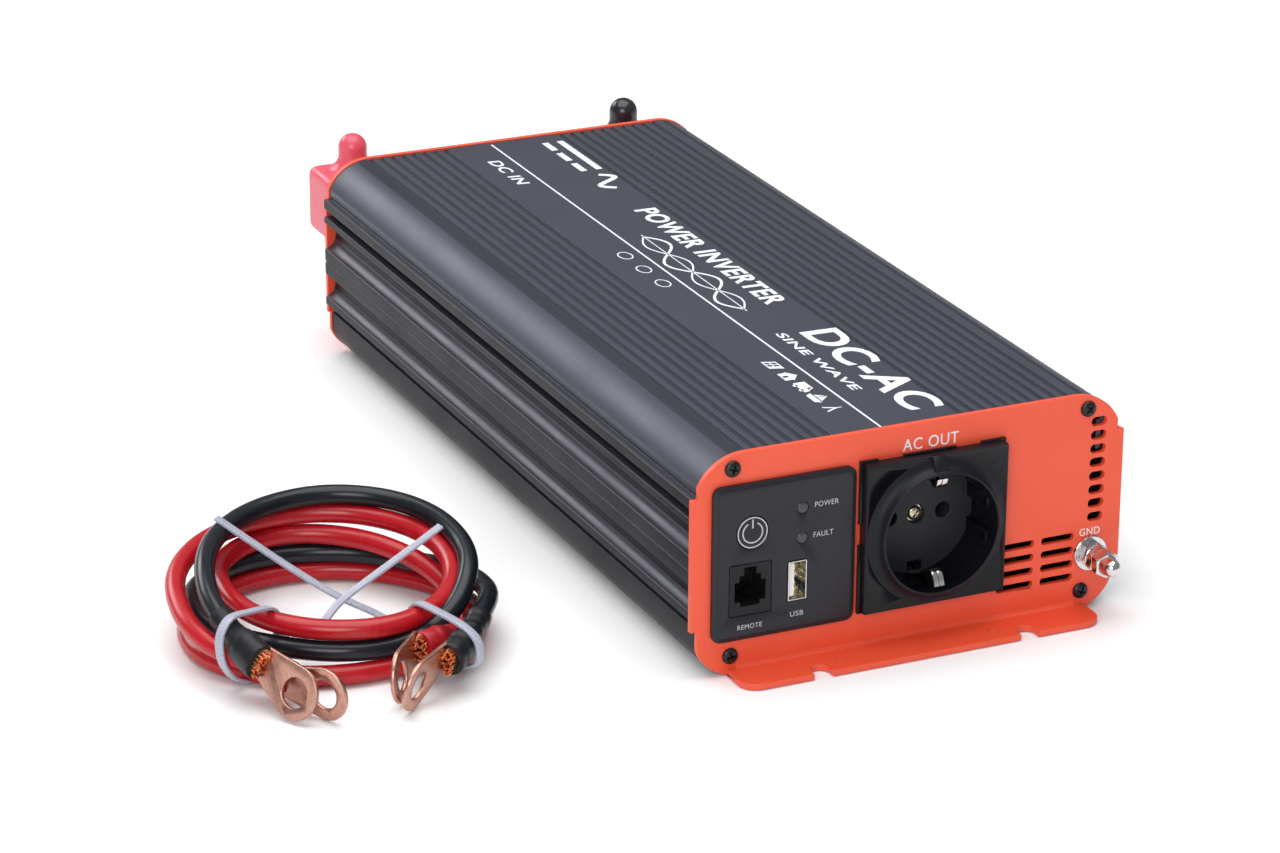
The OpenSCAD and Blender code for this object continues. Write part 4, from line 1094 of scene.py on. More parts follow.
# %% [markdown]
# ## Sockets for small plugs
# The jack is a moulded block with a stepped mouth for its plug's latch, and six sprung
# wires at the bottom. The USB port is a folded steel shell round a white tongue. Their
# blocks come from the frame with eased edges, and the sprung wires are swept again, because
# a wire that bends up into the mouth is what one sees.

# %% Jack and USB port
adopt(wear(eased_copy("remote_jack", 0.18), jack_black), "case", "black_gloss", "remote_jack")
PIN_STEP = 1.02
PIN_BEND = [(1.2, 24.6), (2.2, 25.2), (5.0, 27.0), (7.2, 28.0)]
wires = []
for i in range(6):
    x = JACK[0] + (i - 2.5) * PIN_STEP
    route = [Vector((x, Y_FRONT + y, z)) * MM for y, z in PIN_BEND]
    wires.append(swept(f"jack_wire_{i}", through(route, 6), ring(0, 0, 0.2, 10)))
adopt(wear(joined("jack_wires", wires), gold), "case", "gold_contact", "remote_jack_contacts")
adopt(wear(eased_copy("usb_shell", 0.12), nickel), "case", "nickel_steel", "usb_shell")
adopt(wear(eased_copy("usb_tongue", 0.2), white_moulding), "case", "white_plastic", "usb_tongue")

# %% [markdown]
# ## The mains socket
# The socket insert is a square plate on a notched rim. Its plate swells up into a thin round
# rim, and inside the rim is a deep polished cup with a grainy floor. The swelling is what
# catches a soft shadow, so it is turned as one curve with the rim and the cup.

# %% Plate, rim and cup
SOCKET_X, SOCKET_Z = 6.87, 38.83
SOCKET_FACE = Y_FRONT - 4.3
RIM = SOCKET_FACE - 4.0
FLOOR = RIM + 17.5
CUP_R = 19.8
CUP_BACK = FLOOR + 9.0
PLATE_SIDE, PLATE_HOLE_R = 50, 22.9


def square_with(cutouts, half, depth):
    """A square outline with cut-outs; each is (side, place, width), side 0 is the bottom."""
    out = []
    for side in range(4):
        turn = math.radians(90 * side)
        run = [(-half, -half)]
        for _, place, width in sorted(c for c in cutouts if c[0] == side):
            run += [(place - width / 2, -half), (place - width / 2, -half + depth),
                    (place + width / 2, -half + depth), (place + width / 2, -half)]
        for x, z in run:
            out.append((SOCKET_X + x * math.cos(turn) - z * math.sin(turn),
                        SOCKET_Z + x * math.sin(turn) + z * math.cos(turn)))
    return out


CUTOUTS = [(0, -11.2, 3.2), (0, 4.1, 3.2), (0, 20.1, 3.2), (2, 15.0, 9.0), (2, -12.5, 9.0),
           (1, 1.1, 7.0), (3, -1.1, 7.0)]
rim_outline = square_with(CUTOUTS, 25.7, 0.75)
notched_rim = plate("socket_notched_rim", [rim_outline, ring(SOCKET_X, SOCKET_Z, 22.5, 72)],
                    Y_FRONT - 1.2, Y_FRONT, edge=0.1)
face_plate = plate("socket_plate", [block(SOCKET_X, SOCKET_Z, PLATE_SIDE, PLATE_SIDE, 0.6, 3),
                                    ring(SOCKET_X, SOCKET_Z, PLATE_HOLE_R, 96)],
                   SOCKET_FACE, Y_FRONT - 1.0, edge=0.35)
swell = [(CUP_R, RIM + 0.3), (CUP_R + 0.1, RIM + 0.08), (CUP_R + 0.3, RIM), (20.35, RIM),
         (20.6, RIM + 0.12), (20.75, RIM + 0.45), (20.95, RIM + 1.3), (21.35, RIM + 2.2),
         (21.95, RIM + 2.95), (22.8, RIM + 3.55), (23.7, RIM + 3.88), (24.45, SOCKET_FACE),
         (24.45, Y_FRONT), (21.4, Y_FRONT), (21.4, CUP_BACK), (CUP_R, CUP_BACK)]
cup = turned("socket_cup", swell, SOCKET_X, SOCKET_Z, 96, closed=True, sharp=50)


# %% The key on the flank, and the whole face
def slope_block(name, low_w, high_w, z_low, z_high, y_low, y_high, y_back):
    """A key on the flank: its face leans from y_low at z_low to y_high at z_high."""
    points = []
    for width, z, y in ((low_w, z_low, y_low), (high_w, z_high, y_high)):
        for side in (-1, 1):
            for depth in (y, y_back):
                points.append(Vector((SOCKET_X + side * width / 2, depth, SOCKET_Z + z)) * MM)
    faces = [[0, 2, 6, 4], [1, 3, 7, 5], [0, 1, 5, 4], [2, 3, 7, 6], [0, 1, 3, 2], [4, 5, 7, 6]]
    return settled(bevelled(piece_from(name, points, faces), 0.12 * MM))


def in_cup(polygon):
    out = polygon.center - Vector((SOCKET_X, 0, SOCKET_Z)) * MM
    return math.hypot(out.x, out.z) < (CUP_R + 0.02) * MM


key = slope_block("socket_key", 5.0, 4.5, 20.5, 25.0, RIM + 0.35, SOCKET_FACE - 0.15, SOCKET_FACE + 1)
face = joined("socket_face_moulding", [notched_rim, face_plate, cup, key])
adopt(two_materials(face, socket_satin, cup_gloss, in_cup), "case", "socket_plastic", "socket_face")
print("socket faces:", len(face.data.polygons))

# %% [markdown]
# The floor is a disc with two round pin holes, a screw recess in the middle, and slots for
# the earth contacts. Two pads on each side of the cup guide the plug.

# %% Floor and guide pads
PIN_X, PIN_HOLE_R = 9.5, 2.6
EARTH_SLOT_Z = 17.6
floor_holes = [ring(SOCKET_X - PIN_X, SOCKET_Z, PIN_HOLE_R, 40),
               ring(SOCKET_X + PIN_X, SOCKET_Z, PIN_HOLE_R, 40), ring(SOCKET_X, SOCKET_Z, 3.1, 48),
               block(SOCKET_X, SOCKET_Z + EARTH_SLOT_Z, 5.2, 3.4, 0.3, 2),
               block(SOCKET_X, SOCKET_Z - EARTH_SLOT_Z, 5.2, 3.4, 0.3, 2)]
floor_disc = plate("socket_floor", [ring(SOCKET_X, SOCKET_Z, CUP_R + 0.4, 96)] + floor_holes, FLOOR,
                   CUP_BACK - 0.5, edge=0.3, steps=3)
adopt(wear(floor_disc, floor_satin), "case", "socket_plastic")
pads = []
for side in (-1, 1):
    for z in (-5.9, 5.9):
        reach = math.sqrt(CUP_R ** 2 - z ** 2)
        pad = block(SOCKET_X + side * (reach - 0.1), SOCKET_Z + z, 1.7, 4.5, 0.35, 3)
        pads.append(plate(f"guide_{side}_{z}", [pad], RIM + 4.6, FLOOR + 0.2, edge=0.25))
adopt(wear(joined("guide_pads", pads), cup_gloss), "case", "socket_plastic")

# %% Centre screw
head = screw_head("socket_screw", 2.45, 1.5, turn=38)
head.data.transform(Matrix.Translation(Vector((SOCKET_X, FLOOR + 1.9, SOCKET_Z)) * MM))
shank = turned("socket_shank", [(0, FLOOR + 1.8), (2.9, FLOOR + 1.8), (2.9, FLOOR + 2.6), (1.6, FLOOR + 2.6),
                                (1.6, FLOOR + 17.5), (0, FLOOR + 17.5)], SOCKET_X, SOCKET_Z, 32)
middle_screw = joined("socket_screw_head", [head, shank])
adopt(wear(middle_screw, yellow_screw), "case", "screw_brass", "socket_center_screw")

# %% Earth contacts, as (y, distance from the middle) along each strip
FAR_BEND = [(FLOOR + 8.6, 20.9), (FLOOR + 1.5, 20.4), (FLOOR - 4.0, 18.6)]
LOW_BEND = [(RIM + 8.4, 16.0), (RIM + 5.4, 14.2), (RIM + 3.6, 14.1), (RIM + 2.0, 15.8), (RIM + 1.2, 18.2)]
HIGH_BEND = [(RIM + 7.0, 16.4), (RIM + 4.6, 15.0), (RIM + 3.0, 15.0), (RIM + 1.8, 16.4), (RIM + 1.2, 18.2)]
clips = []
for side, near in ((-1, LOW_BEND), (1, HIGH_BEND)):
    for lane in (-0.95, 0.95):
        route = [Vector((SOCKET_X + lane, y, SOCKET_Z + side * r)) * MM for y, r in FAR_BEND + near]
        strip = eased([(-0.85, -0.3), (0.85, -0.3), (0.85, 0.3), (-0.85, 0.3)], 0.15, 2)
        clips.append(swept(f"earth_{side}_{lane}", through(route, 6), strip, first_up=(0, 0, side)))
adopt(wear(joined("earth_contacts", clips), nickel), "case", "earth_metal", "socket_earth_clip")

# %% [markdown]
# ## Nuts and washers
# A nut is a hexagon whose corners are turned off at both ends. So it is made the way a nut
# is made: a hexagonal prism, kept only where a turned blank with sloped shoulders is.


# %% Hexagon parts
def hexagon(x, z, flats, tilt=0.0):
    reach = flats / math.sqrt(3)
    corners = []
    for i in range(6):
        angle = math.radians(60 * i + tilt)
        corners.append((x + reach * math.cos(angle), z + reach * math.sin(angle)))
    return corners


def nut(name, x, z, flats, y0, y1, hole, tilt=0.0, shoulder=0.55):
    prism = plate(name, [hexagon(x, z, flats, tilt)], y0, y1, edge=0)
    half, corner = flats / 2 * 0.97, flats / math.sqrt(3) + 0.1
    blank = turned(name + "_blank", [(0, y0 - 0.001), (half, y0 - 0.001), (corner, y0 + shoulder),
                                     (corner, y1 - shoulder), (half, y1 + 0.001), (0, y1 + 0.001)], x, z, 72)
    keep = prism.modifiers.new("keep", "BOOLEAN")
    keep.operation = "INTERSECT"
    keep.solver = "EXACT"
    keep.object = blank
    settled(prism)
    bpy.data.objects.remove(blank)
    if hole:
        bore = turned(name + "_bore", [(0, y0 - 1), (hole, y0 - 1), (hole, y1 + 1), (0, y1 + 1)], x, z, 48)
        cut(prism, bore)
    smooth_by_angle(prism.data, 30)
    return prism


def washer(name, x, z, hole, radius, y0, y1):
    lip = min(0.18, (y1 - y0) / 3)
    profile = [(hole, y0), (radius - lip, y0), (radius, y0 + lip), (radius, y1 - lip), (radius - lip, y1),
               (hole, y1)]
    return turned(name, profile, x, z, 64, closed=True)


def threaded(name, x, z, radius, y0, y1, pitch):
    """A thread as close rings: at this size a helix would look the same."""
    profile, y = [(0, y0), (radius - 0.45, y0)], y0 + 0.35
    while y < y1 - pitch:
        profile += [(radius, y), (radius, y + pitch * 0.2), (radius - pitch * 0.42, y + pitch * 0.55),
                    (radius - pitch * 0.42, y + pitch * 0.7)]
        y += pitch
    profile += [(radius, y1 - 0.3), (radius - 0.3, y1), (0, y1)]
    return turned(name, profile, x, z, 40, sharp=25)


# %% [markdown]
# ## Earth stud
# A bright stud in the corner holds an earth wire between its washers. It is a stack: a wide
# washer, a nut, a thin washer, a second nut, and an acorn nut whose dome ends it.

# %% Stack on the earth stud
STUD_X, STUD_Z, STUD_R = 65.3, 19.3, 2.5
stud = threaded("earth_stud", STUD_X, STUD_Z, STUD_R, Y_FRONT - 12.4, Y_FRONT + 4.4, 0.8)
adopt(wear(stud, nickel), "case", "nickel_steel", "ground_stud")
stack = [washer("stud_washer_wide", STUD_X, STUD_Z, STUD_R + 0.1, 5.9, Y_FRONT - 1.2, Y_FRONT),
         washer("stud_washer_thin", STUD_X, STUD_Z, STUD_R + 0.1, 4.4, Y_FRONT - 5.1, Y_FRONT - 4.5)]
adopt(wear(joined("stud_washers", stack), nickel), "case", "nickel_steel", "ground_washers")
nuts = [nut("stud_nut_0", STUD_X, STUD_Z, 8, Y_FRONT - 4.5, Y_FRONT - 1.2, STUD_R + 0.05, tilt=12),
        nut("stud_nut_1", STUD_X, STUD_Z, 8, Y_FRONT - 8.3, Y_FRONT - 5.1, STUD_R + 0.05, tilt=24)]
adopt(wear(joined("stud_nuts", nuts), nickel), "case", "nickel_steel", "ground_nuts")
DOME_R, DOME_Y = 2.95, Y_FRONT - 14.35
dome = [(0, DOME_Y - DOME_R)]
for step in range(1, 13):
    angle = math.radians(7.5 * step)
    dome.append((DOME_R * math.sin(angle), DOME_Y - DOME_R * math.cos(angle)))
dome += [(DOME_R + 0.05, DOME_Y + 1.6), (DOME_R + 0.5, DOME_Y + 2.5), (DOME_R + 0.5, Y_FRONT - 9),
         (0, Y_FRONT - 9)]
acorn = [turned("acorn_dome", dome, STUD_X, STUD_Z, 56),
         nut("acorn_hexagon", STUD_X, STUD_Z, 8, Y_FRONT - 11.8, Y_FRONT - 8.4, STUD_R + 0.05, tilt=30)]
adopt(wear(joined("acorn_nut", acorn), nickel), "case", "nickel_steel", "ground_acorn_nut")

# %% [markdown]
# ## Fan and guard
# The fan sits behind the back plate and its guard in front of it. The guard is welded from
# round wire, so it is swept with a round section: four rings, four spokes and four eyes.


# %% Guard wires
def wire_ring(name, x, z, radius, y, wire, count=96):
    points, faces, around = [], [], 10
    for i in range(count):
        angle = 2 * math.pi * i / count
        for k in range(around):
            turn = 2 * math.pi * k / around
            reach = radius + wire * math.cos(turn)
            points.append(Vector((x + reach * math.cos(angle), y + wire * math.sin(turn),
                                  z + reach * math.sin(angle))) * MM)
    for i in range(count):
        for k in range(around):
            a, b = i * around + k, i * around + (k + 1) % around
            c, d = ((i + 1) % count) * around + (k + 1) % around, ((i + 1) % count) * around + k
            faces.append([a, b, c, d])
    return piece_from(name, points, faces, 60)


FAN_Z, FAN_HOLE, WIRE_R = 37.8, 25.0, 0.8
GUARD_Y = Y_BACK + 1.0
wires = []
for i in range(1, 5):
    wires.append(wire_ring(f"guard_ring_{i}", 0, FAN_Z, 27 * i / 4 + 0.6, GUARD_Y, WIRE_R - 0.02))
for i, (sx, sz) in enumerate(((-1, -1), (1, -1), (1, 1), (-1, 1))):
    near, far = 7.2 * 0.7071, (FAN_HOLE - 2.3)
    route = [Vector((sx * near, GUARD_Y - 0.5, FAN_Z + sz * near)) * MM,
             Vector((sx * 16, GUARD_Y - 0.2, FAN_Z + sz * 16)) * MM,
             Vector((sx * far, GUARD_Y, FAN_Z + sz * far)) * MM]
    round_wire = ring(0, 0, WIRE_R - 0.12, 12)
    wires.append(swept(f"guard_spoke_{i}", through(route, 6), round_wire, first_up=(0, 1, 0)))
    eye_x, eye_z = sx * FAN_HOLE, FAN_Z + sz * FAN_HOLE
    wires.append(wire_ring(f"guard_eye_{i}", eye_x, eye_z, 3.2, GUARD_Y, WIRE_R - 0.02, 40))
adopt(wear(joined("fan_guard_wires", wires), bright_wire), "case", "guard_wire", "fan_guard")

# %% Fan, and the screws at its corners
CORNER_SCREWS = [(sx * FAN_HOLE, FAN_Z + sz * FAN_HOLE) for sx in (-1, 1) for sz in (-1, 1)]
fan_heads = screws_at("fan_screw_heads", CORNER_SCREWS, Y_BACK + 1.8, 3.6, 2.2, facing=1)
rod = [(0, Y_BACK - 21.9), (1.95, Y_BACK - 21.9), (1.95, Y_BACK + 1.9), (0, Y_BACK + 1.9)]
shanks = [turned(f"fan_shank_{i}", rod, x, z, 24) for i, (x, z) in enumerate(CORNER_SCREWS)]
adopt(wear(joined("fan_screw_set", [fan_heads] + shanks), nickel), "case", "nickel_steel", "fan_screws")
adopt(wear(eased_copy("fan_frame", 0.2), plain_black), "case", "fan_plastic", "fan_frame")
adopt(wear(eased_copy("fan_rotor", 0.12), plain_black), "fan_rotor", "fan_plastic", "fan_rotor")

# %% [markdown]
# ## Battery terminals
# Two brass posts stand out of coloured bushings, each with a washer and a nut. They are
# hidden until the soft boots are pulled off, and then the threads should be there.

# %% Posts, washers and nuts
POST_X, POST_Z = 55.2, 50.0
posts, post_washers, post_nuts = [], [], []
for side in (-1, 1):
    x = side * POST_X
    posts.append(threaded(f"post_{side}", x, POST_Z, 4.0, Y_BACK - 6.3, Y_BACK + 25, 1.25))
    posts.append(nut(f"post_root_{side}", x, POST_Z, 13, Y_BACK - 20, Y_BACK - 6.2, 0, tilt=30))
    post_washers.append(washer(f"post_washer_{side}", x, POST_Z, 4.1, 8.0, Y_BACK + 7.0, Y_BACK + 8.6))
    post_nuts.append(nut(f"post_nut_{side}", x, POST_Z, 13, Y_BACK + 8.6, Y_BACK + 15.1, 4.05,
                         tilt=8, shoulder=0.9))
adopt(wear(joined("terminal_post_set", posts), brass), "case", "brass", "terminal_posts")
adopt(wear(joined("terminal_washer_set", post_washers), nickel), "case", "nickel_steel", "terminal_washers")
adopt(wear(joined("terminal_nut_set", post_nuts), nickel), "case", "nickel_steel", "terminal_nuts")

# %% Bushings
bush_red = finish("bush_red", (0.50, 0.020, 0.025), (0.56, 0.030, 0.035), 0.38, 0.05,
                  0.5, 0.006, patch=6, fleck=0.05)
adopt(wear(eased_copy("red_terminal_bushing", 0.4, 3), bush_red), "case", "bush_red", "red_terminal_bushing")
adopt(wear(eased_copy("black_terminal_bushing", 0.4, 3), plain_black), "case", "bush_black",
      "black_terminal_bushing")

# %% [markdown]
# ## Terminal boots
# Each boot is dipped in soft vinyl: a blunt box over the terminal with a closed round neck
# for the cable, and no sharp edge anywhere. Box, neck and hollow are put together roughly,
# then the whole is remeshed finely and relaxed, which melts the joins into fillets.

# %% Soft shapes for a boot
BOOT = {"x0": 40.5, "x1": 69.9, "z0": 38.0, "z1": 63.0, "y0": Y_BACK + 1.0, "y1": Y_BACK + 31.0}
BOOT_WALL = 2.0
MELT_SIZE = 0.5
NECK_Y, NECK_TOP, NECK_R = 180.0, 76.2, 5.4


def rounded_box(name, x0, x1, z0, z1, y0, y1, radius):
    outline = block((x0 + x1) / 2, (z0 + z1) / 2, x1 - x0, z1 - z0, radius * 1.4, 6)
    return plate(name, [outline], y0, y1, edge=radius * 0.75, steps=4)


def upright(name, profile, x, y, count=48):
    """A turned part whose axis stands up; the profile is (radius, z)."""
    part = turned(name, [(r, -z) for r, z in profile], 0, 0, count)
    part.data.transform(Matrix.Rotation(math.radians(-90), 4, "X"))
    part.data.transform(Matrix.Translation(Vector((x, y, 0)) * MM))
    return part


# %% One boot, and its mirror image
def boot(name, side, material):
    middle = (BOOT["x0"] + BOOT["x1"]) / 2
    body = rounded_box(name, BOOT["x0"] + 0.15, BOOT["x1"] - 0.15, BOOT["z0"] + 0.15, BOOT["z1"] - 0.1,
                       BOOT["y0"], BOOT["y1"] - 0.15, 2.6)
    crown = []
    for step in range(13):
        angle = math.radians(7.5 * step)
        crown.append((NECK_R * math.sin(angle), NECK_TOP - NECK_R + NECK_R * math.cos(angle)))
    waist = [(NECK_R - 0.1, 68.4), (NECK_R + 0.15, 66.8), (NECK_R + 0.9, 65.2), (NECK_R + 2.0, 64.0),
             (NECK_R + 3.2, 63.0), (NECK_R + 3.4, 61.5), (0, 61.5)]
    neck = upright(name + "_neck", crown + waist, middle, NECK_Y)
    both = body.modifiers.new("both", "BOOLEAN")
    both.operation = "UNION"
    both.solver = "EXACT"
    both.object = neck
    settled(body)
    bpy.data.objects.remove(neck)
    hollow = rounded_box(name + "_hollow", BOOT["x0"] + BOOT_WALL, BOOT["x1"] - BOOT_WALL,
                         BOOT["z0"] + BOOT_WALL, BOOT["z1"] - BOOT_WALL, BOOT["y0"] - 3,
                         BOOT["y1"] - BOOT_WALL, 1.4)
    cut(body, hollow)
    skin = body.modifiers.new("melt", "REMESH")
    skin.mode = "VOXEL"
    skin.voxel_size = MELT_SIZE * MM
    skin.use_smooth_shade = True
    settled(body)
    relax = body.modifiers.new("relax", "SMOOTH")
    relax.factor = 0.5
    relax.iterations = 6
    settled(body)
    if side < 0:
        body.data.transform(Matrix.Scale(-1, 4, (1, 0, 0)))
        body.data.flip_normals()
    body.data.shade_smooth()
    return wear(body, material)


red_cover = adopt(boot("red_terminal_boot", -1, boot_red), "red_boot", "boot_red", "red_boot")
adopt(boot("black_terminal_boot", 1, boot_black), "black_boot", "boot_black", "black_boot")
print("boot faces:", len(red_cover.data.polygons))

# %% [markdown]
# ## Printing
# The labels are screen printed. They could be an image on the surface, but printed ink is a
# film that stands a hair proud, so each label is a thin mesh made from a type outline. All
# words are plain ones: what comes out, what a light means, which port is which.


# %% One printed word
INK = 0.05


def type_mesh(name, text, bold, slant):
    """The word as a flat mesh, one unit thick, from 0 to 1 in width and height."""
    curve = bpy.data.curves.new(name, "FONT")
    curve.body = text
    curve.offset = bold
    curve.shear = slant
    curve.space_character = 1.08
    curve.extrude = 0.02
    curve.resolution_u = 5
    draft = link(name, curve)
    bpy.context.view_layer.update()
    mesh = bpy.data.meshes.new_from_object(draft.evaluated_get(bpy.context.evaluated_depsgraph_get()))
    bpy.data.objects.remove(draft)
    low = [min(v.co[i] for v in mesh.vertices) for i in range(3)]
    high = [max(v.co[i] for v in mesh.vertices) for i in range(3)]
    shrink = Matrix.Diagonal([1 / (high[i] - low[i]) for i in range(3)] + [1])
    mesh.transform(shrink @ Matrix.Translation([-v for v in low]))
    return mesh


def printed(name, text, width, height, place, across, up, bold=0.0, slant=0.0):
    """place is the word's lower left corner; sizes are in mm."""
    mesh = type_mesh(name, text, bold, slant)
    across, up = Vector(across), Vector(up)
    out = across.cross(up)
    axes = Matrix((across * width, up * height, out * INK)).transposed().to_4x4()
    mesh.transform(Matrix.Scale(MM, 4) @ Matrix.Translation(Vector(place)) @ axes)
    mesh.shade_flat()
    return link(name, mesh)


FRONT = {"across": (1, 0, 0), "up": (0, 0, 1)}
TOP = {"across": (0, -1, 0), "up": (1, 0, 0)}
words = [printed("word_ac_out", "AC OUT", 19.6, 3.9, (-3.6, Y_FRONT, 65.2), **FRONT),
         printed("word_earth", "GND", 7.4, 2.5, (61.4, Y_FRONT, 25.4), **FRONT)]
adopt(wear(joined("front_words", words), white_ink), "case", "panel_orange")
labels = [printed("word_power", "POWER", 8.2, 1.75, (-34.9, PANEL_FACE, 52.6), **FRONT),
          printed("word_fault", "FAULT", 6.9, 1.75, (-35.2, PANEL_FACE, 42.5), **FRONT),
          printed("word_remote", "REMOTE", 8.4, 1.6, (-60.9, PANEL_FACE, 15.6), **FRONT),
          printed("word_usb", "USB", 4.6, 1.7, (-42.8, PANEL_FACE, 17.0), **FRONT)]
adopt(wear(joined("panel_words", labels), grey_ink), "case", "black_panel")

# %% [markdown]
# On the cover a thin line divides a narrow band of signs from the wide band with the name of
# the thing. Two crossed sine waves on an axis say what comes out, and a bar over three dashes
# and a short wave stand for the two kinds of current. Five simple signs show where such a
# box is used: with a solar panel, in a house, in a van, on a boat, at a mast.

# %% Words and lines on the cover
def top_print(name, outlines):
    """Outlines are lists of (x, y) in mm on the cover."""
    flat = plate(name, outlines, 0, INK, edge=0)
    turn = Matrix(((1, 0, 0, 0), (0, 0, 1, 0), (0, 1, 0, COVER_TOP * MM), (0, 0, 0, 1)))
    flat.data.transform(turn)
    flat.data.flip_normals()
    return flat


def ribbon(line, width):
    """The outline of a line drawn with a pen of this width."""
    left, right = [], []
    for i, (x, y) in enumerate(line):
        ax, ay = line[max(i - 1, 0)]
        bx, by = line[min(i + 1, len(line) - 1)]
        length = math.hypot(bx - ax, by - ay)
        nx, ny = -(by - ay) / length * width / 2, (bx - ax) / length * width / 2
        left.append((x + nx, y + ny))
        right.append((x - nx, y - ny))
    return left + right[::-1]


def rectangle(x0, x1, y0, y1):
    return [(x0, y0), (x1, y0), (x1, y1), (x0, y1)]


prints = [top_print("divider", [rectangle(-10.6, -9.9, -156.4, 154)]),
          printed("word_name", "POWER INVERTER", 107, 8.4, (6.4, 64.5, COVER_TOP), **TOP,
                  bold=0.030, slant=0.04),
          printed("word_kind", "DC-AC", 77, 13.6, (4.0, -70.5, COVER_TOP), **TOP, bold=0.026, slant=0.04),
          printed("word_wave", "SINE WAVE", 56, 3.5, (-3.7, -68.6, COVER_TOP), **TOP,
                  bold=0.022, slant=0.08),
          printed("word_input", "DC IN", 29, 4.8, (-19.6, 136, COVER_TOP), **TOP, bold=0.020, slant=0.08)]
for name, height, shift, pen in (("wave_line", 5.2, 0, 1.0), ("wave_echo", 3.6, 20, 0.65)):
    wave = [(-2.3 + height * math.sin(2 * math.pi * (i + shift) / 40), 37 - i) for i in range(81)]
    prints.append(top_print(name, [ribbon(wave, pen)]))
prints.append(top_print("wave_axis", [rectangle(-2.4, -2.0, -45, 39)]))


# %% Rings and current signs
def oval(x, y, across, along, count):
    half = count / 2
    return [(x + across * math.cos(t * math.pi / half), y + along * math.sin(t * math.pi / half))
            for t in range(count)]


for i, y in enumerate((21.5, 6.2, -9.2)):
    rim, hole = oval(-16.3, y, 2.6, 3.9, 40), oval(-16.3, y, 2.1, 3.4, 40)
    prints.append(top_print(f"sign_ring_{i}", [rim, hole]))
prints.append(top_print("dc_bar", [rectangle(13.4, 15.9, 112, 148)]))
for i in range(3):
    prints.append(top_print(f"dc_dash_{i}", [rectangle(7.4, 9.9, 138.4 - 13.2 * i, 148 - 13.2 * i)]))
small_wave = [(11.6 + 4.4 * math.sin(2 * math.pi * i / 32), 106 - i * 0.5) for i in range(33)]
prints.append(top_print("ac_wave", [ribbon(small_wave, 2.2)]))


# %% The five small signs
def sign(name, y, outlines):
    """A sign 10 mm long; its outlines are (along, across) from its lower left corner."""
    placed = [[(-19.4 + up, y - along * 0.88) for along, up in outline] for outline in outlines]
    return top_print(name, placed)


panel_sign = [(0.0, 0.0), (7.4, 0.0), (9.4, 4.6), (2.0, 4.6)]
panel_gap = [(1.2, 0.5), (3.0, 0.5), (3.7, 2.1), (1.9, 2.1)]
panel_gaps = [[(x + 2.4 * c + 0.85 * r, y + 2.0 * r) for x, y in panel_gap]
              for c in range(2) for r in range(2)]
house_sign = [(0.9, 0), (8.1, 0), (8.1, 2.7), (9.0, 2.7), (4.5, 5.6), (0, 2.7), (0.9, 2.7)]
door_gap = [(3.6, 0.5), (5.4, 0.5), (5.4, 2.4), (3.6, 2.4)]
van_sign = [(0, 0.9), (9.6, 0.9), (9.6, 2.6), (8.6, 3.2), (7.2, 5.0), (0, 5.0)]
van_gap = [(6.0, 3.1), (7.9, 3.1), (6.8, 4.5), (6.0, 4.5)]
boat_sign = [(1.4, 0), (8.2, 0), (9.8, 2.0), (0, 2.0)]
sail = [(4.9, 2.5), (8.6, 2.5), (4.9, 6.0)]
mast_sail = [(4.3, 2.5), (4.3, 5.4), (1.6, 2.5)]
prints.append(sign("sign_solar", -90, [panel_sign] + panel_gaps))
prints.append(sign("sign_house", -101.2, [house_sign, door_gap]))
prints.append(sign("sign_van", -111.4, [van_sign, van_gap]))
for i, along in enumerate((2.3, 7.3)):
    prints.append(sign(f"sign_wheel_{i}", -111.4, [oval(along, 0.75, 1.05, 0.8, 24)]))
for i, outline in enumerate((boat_sign, sail, mast_sail)):
    prints.append(sign(f"sign_boat_{i}", -121.4, [outline]))
mast_sign = [(2.0, 0), (2.9, 0), (4.6, 3.0), (6.3, 0), (7.2, 0), (4.9, 4.2), (4.9, 5.8),
             (4.3, 5.8), (4.3, 4.2)]
prints.append(sign("sign_mast", -131.8, [mast_sign]))
adopt(wear(joined("cover_print", prints), white_ink), "case", "case_dark")

# %% [markdown]
# ## Parts inside
# Most of what is inside shows only through the vents, when the boots are off, or in a cut
# view. These parts keep their frame shapes, and each gets its own finish, made with the
# same recipe: solder mask, ferrite, winding tape, sleeved capacitors, mill aluminium.

# %% Finishes for the inside
mask_green = finish("mask_green", (0.020, 0.110, 0.050), (0.028, 0.140, 0.062), 0.30, 0.06,
                    0.8, 0.010, patch=9, fleck=0.18)
ferrite = finish("ferrite", (0.050, 0.050, 0.054), (0.070, 0.070, 0.074), 0.60, 0.08,
                 0.35, 0.020, patch=5, fleck=0.2)
winding_tape = finish("winding_tape", (0.62, 0.42, 0.060), (0.70, 0.50, 0.090), 0.34, 0.06,
                      1.5, 0.010, patch=4, stretch=(1, 0.2, 1), fleck=0.06)
cap_sleeve = finish("cap_sleeve", (0.014, 0.020, 0.050), (0.020, 0.028, 0.064), 0.30, 0.06,
                    0.6, 0.006, patch=6, fleck=0.08)
enamel_wire = finish("enamel_wire", (0.52, 0.20, 0.075), (0.62, 0.27, 0.11), 0.28, 0.07,
                     0.3, 0.008, metal=0.8, patch=2, fleck=0.12)
fuse_plastic = finish("fuse_plastic", (0.62, 0.22, 0.030), (0.68, 0.26, 0.045), 0.30, 0.05,
                      0.5, 0.004, patch=5, fleck=0.05)
fish_paper = finish("fish_paper", (0.30, 0.24, 0.15), (0.36, 0.29, 0.19), 0.62, 0.06,
                    0.7, 0.020, patch=12, fleck=0.12)
wire_pvc = finish("wire_pvc", (0.42, 0.045, 0.035), (0.48, 0.060, 0.045), 0.34, 0.05,
                  0.8, 0.006, patch=5, fleck=0.05)
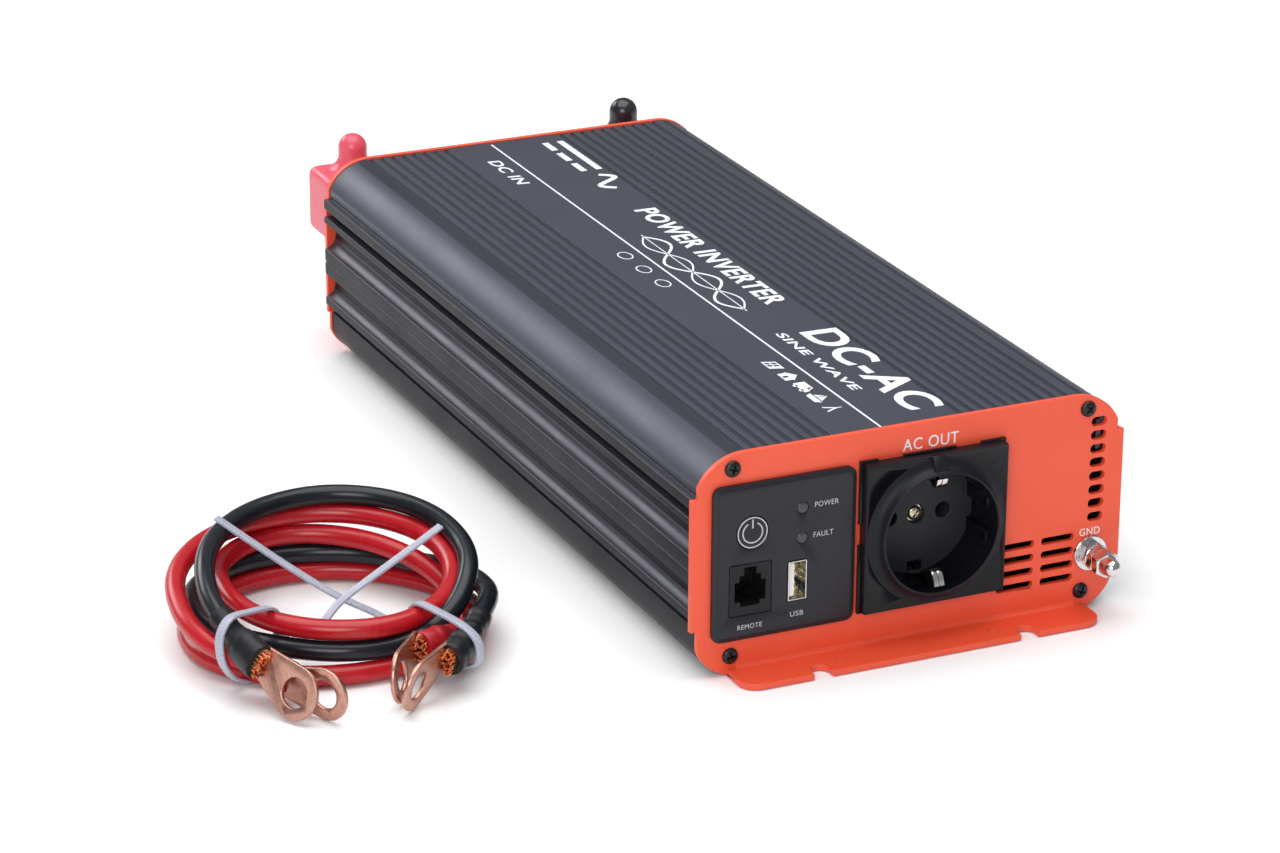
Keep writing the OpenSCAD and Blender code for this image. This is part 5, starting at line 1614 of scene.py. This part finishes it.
epoxy_black = finish("epoxy_black", (0.026, 0.026, 0.029), (0.034, 0.034, 0.037), 0.48, 0.07,
                     0.3, 0.012, patch=4, fleck=0.15)

# %% Which part wears which
INSIDE = {"tact_switch": epoxy_black, "panel_board": mask_green, "usb_contacts": gold,
          "socket_rear_housing": white_moulding, "socket_pin_sleeves": brass, "main_board": mask_green,
          "board_standoffs": brass, "board_screws": nickel, "transformer_cores": ferrite,
          "transformer_windings": winding_tape, "input_capacitors": cap_sleeve, "bus_capacitors": cap_sleeve,
          "heat_sink_left": mill_aluminium, "heat_sink_right": mill_aluminium,
          "power_transistors": epoxy_black, "output_choke": enamel_wire, "fuses": fuse_plastic,
          "bus_bars": bar_copper,
          "insulation_sheet": fish_paper, "ac_wires": wire_pvc}
for node, material in INSIDE.items():
    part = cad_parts[node]
    if not part.material_slots:
        part.data.materials.append(material)
    for slot in part.material_slots:
        slot.material = material
print("inner parts given a finish:", len(INSIDE))

# %% [markdown]
# ## Light and floor
# A product like this is lit by one wide soft light from above and behind, which draws the
# long highlight along the rounded edge, and by a weaker one from the front left. The room
# is kept dim, because black plastic shows the room, and a bright room makes it grey.

# %% Room and lights
world = bpy.data.worlds.new("studio")
world.use_nodes = True
world.node_tree.nodes["Background"].inputs["Color"].default_value = (0.93, 0.95, 1.0, 1)
world.node_tree.nodes["Background"].inputs["Strength"].default_value = 0.30
bpy.context.scene.world = world
bpy.context.scene.view_settings.view_transform = "Standard"


def soft_light(name, place, aim, width, height, power):
    data = bpy.data.lights.new(name, "AREA")
    data.shape = "RECTANGLE"
    data.size = width
    data.size_y = height
    data.energy = power
    lamp = bpy.data.objects.new(name, data)
    bpy.context.scene.collection.objects.link(lamp)
    away = (Vector(place) - Vector(aim)).normalized()
    lamp.matrix_world = Matrix.Translation(Vector(place)) @ away.to_track_quat("Z", "Y").to_matrix().to_4x4()
    return lamp


soft_light("overhead", (-0.10, 0.10, 1.9), (0, 0, 0), 2.2, 2.2, 46)
soft_light("back_left", (-0.75, 1.9, 1.0), (0, 0.1, 0.05), 1.2, 0.7, 12)
soft_light("front_left", (-1.1, -1.5, 0.9), (0, -0.1, 0.03), 1.1, 0.9, 17)

# %% Floor sheet, in metres
FLOOR_REACH, FLOOR_Z = 4.0, -0.0003
floor_paper = finish("floor_paper", (0.92, 0.92, 0.92), (0.90, 0.90, 0.90), 0.85, 0.05,
                     0.8, 0.002, patch=60, fleck=0.01)
corners = [(x * FLOOR_REACH, y * FLOOR_REACH, FLOOR_Z) for x, y in ((-1, -1), (1, -1), (1, 1), (-1, 1))]
floor_sheet = piece_from("floor_sheet", corners, [[0, 1, 2, 3]])
wear(floor_sheet, floor_paper)
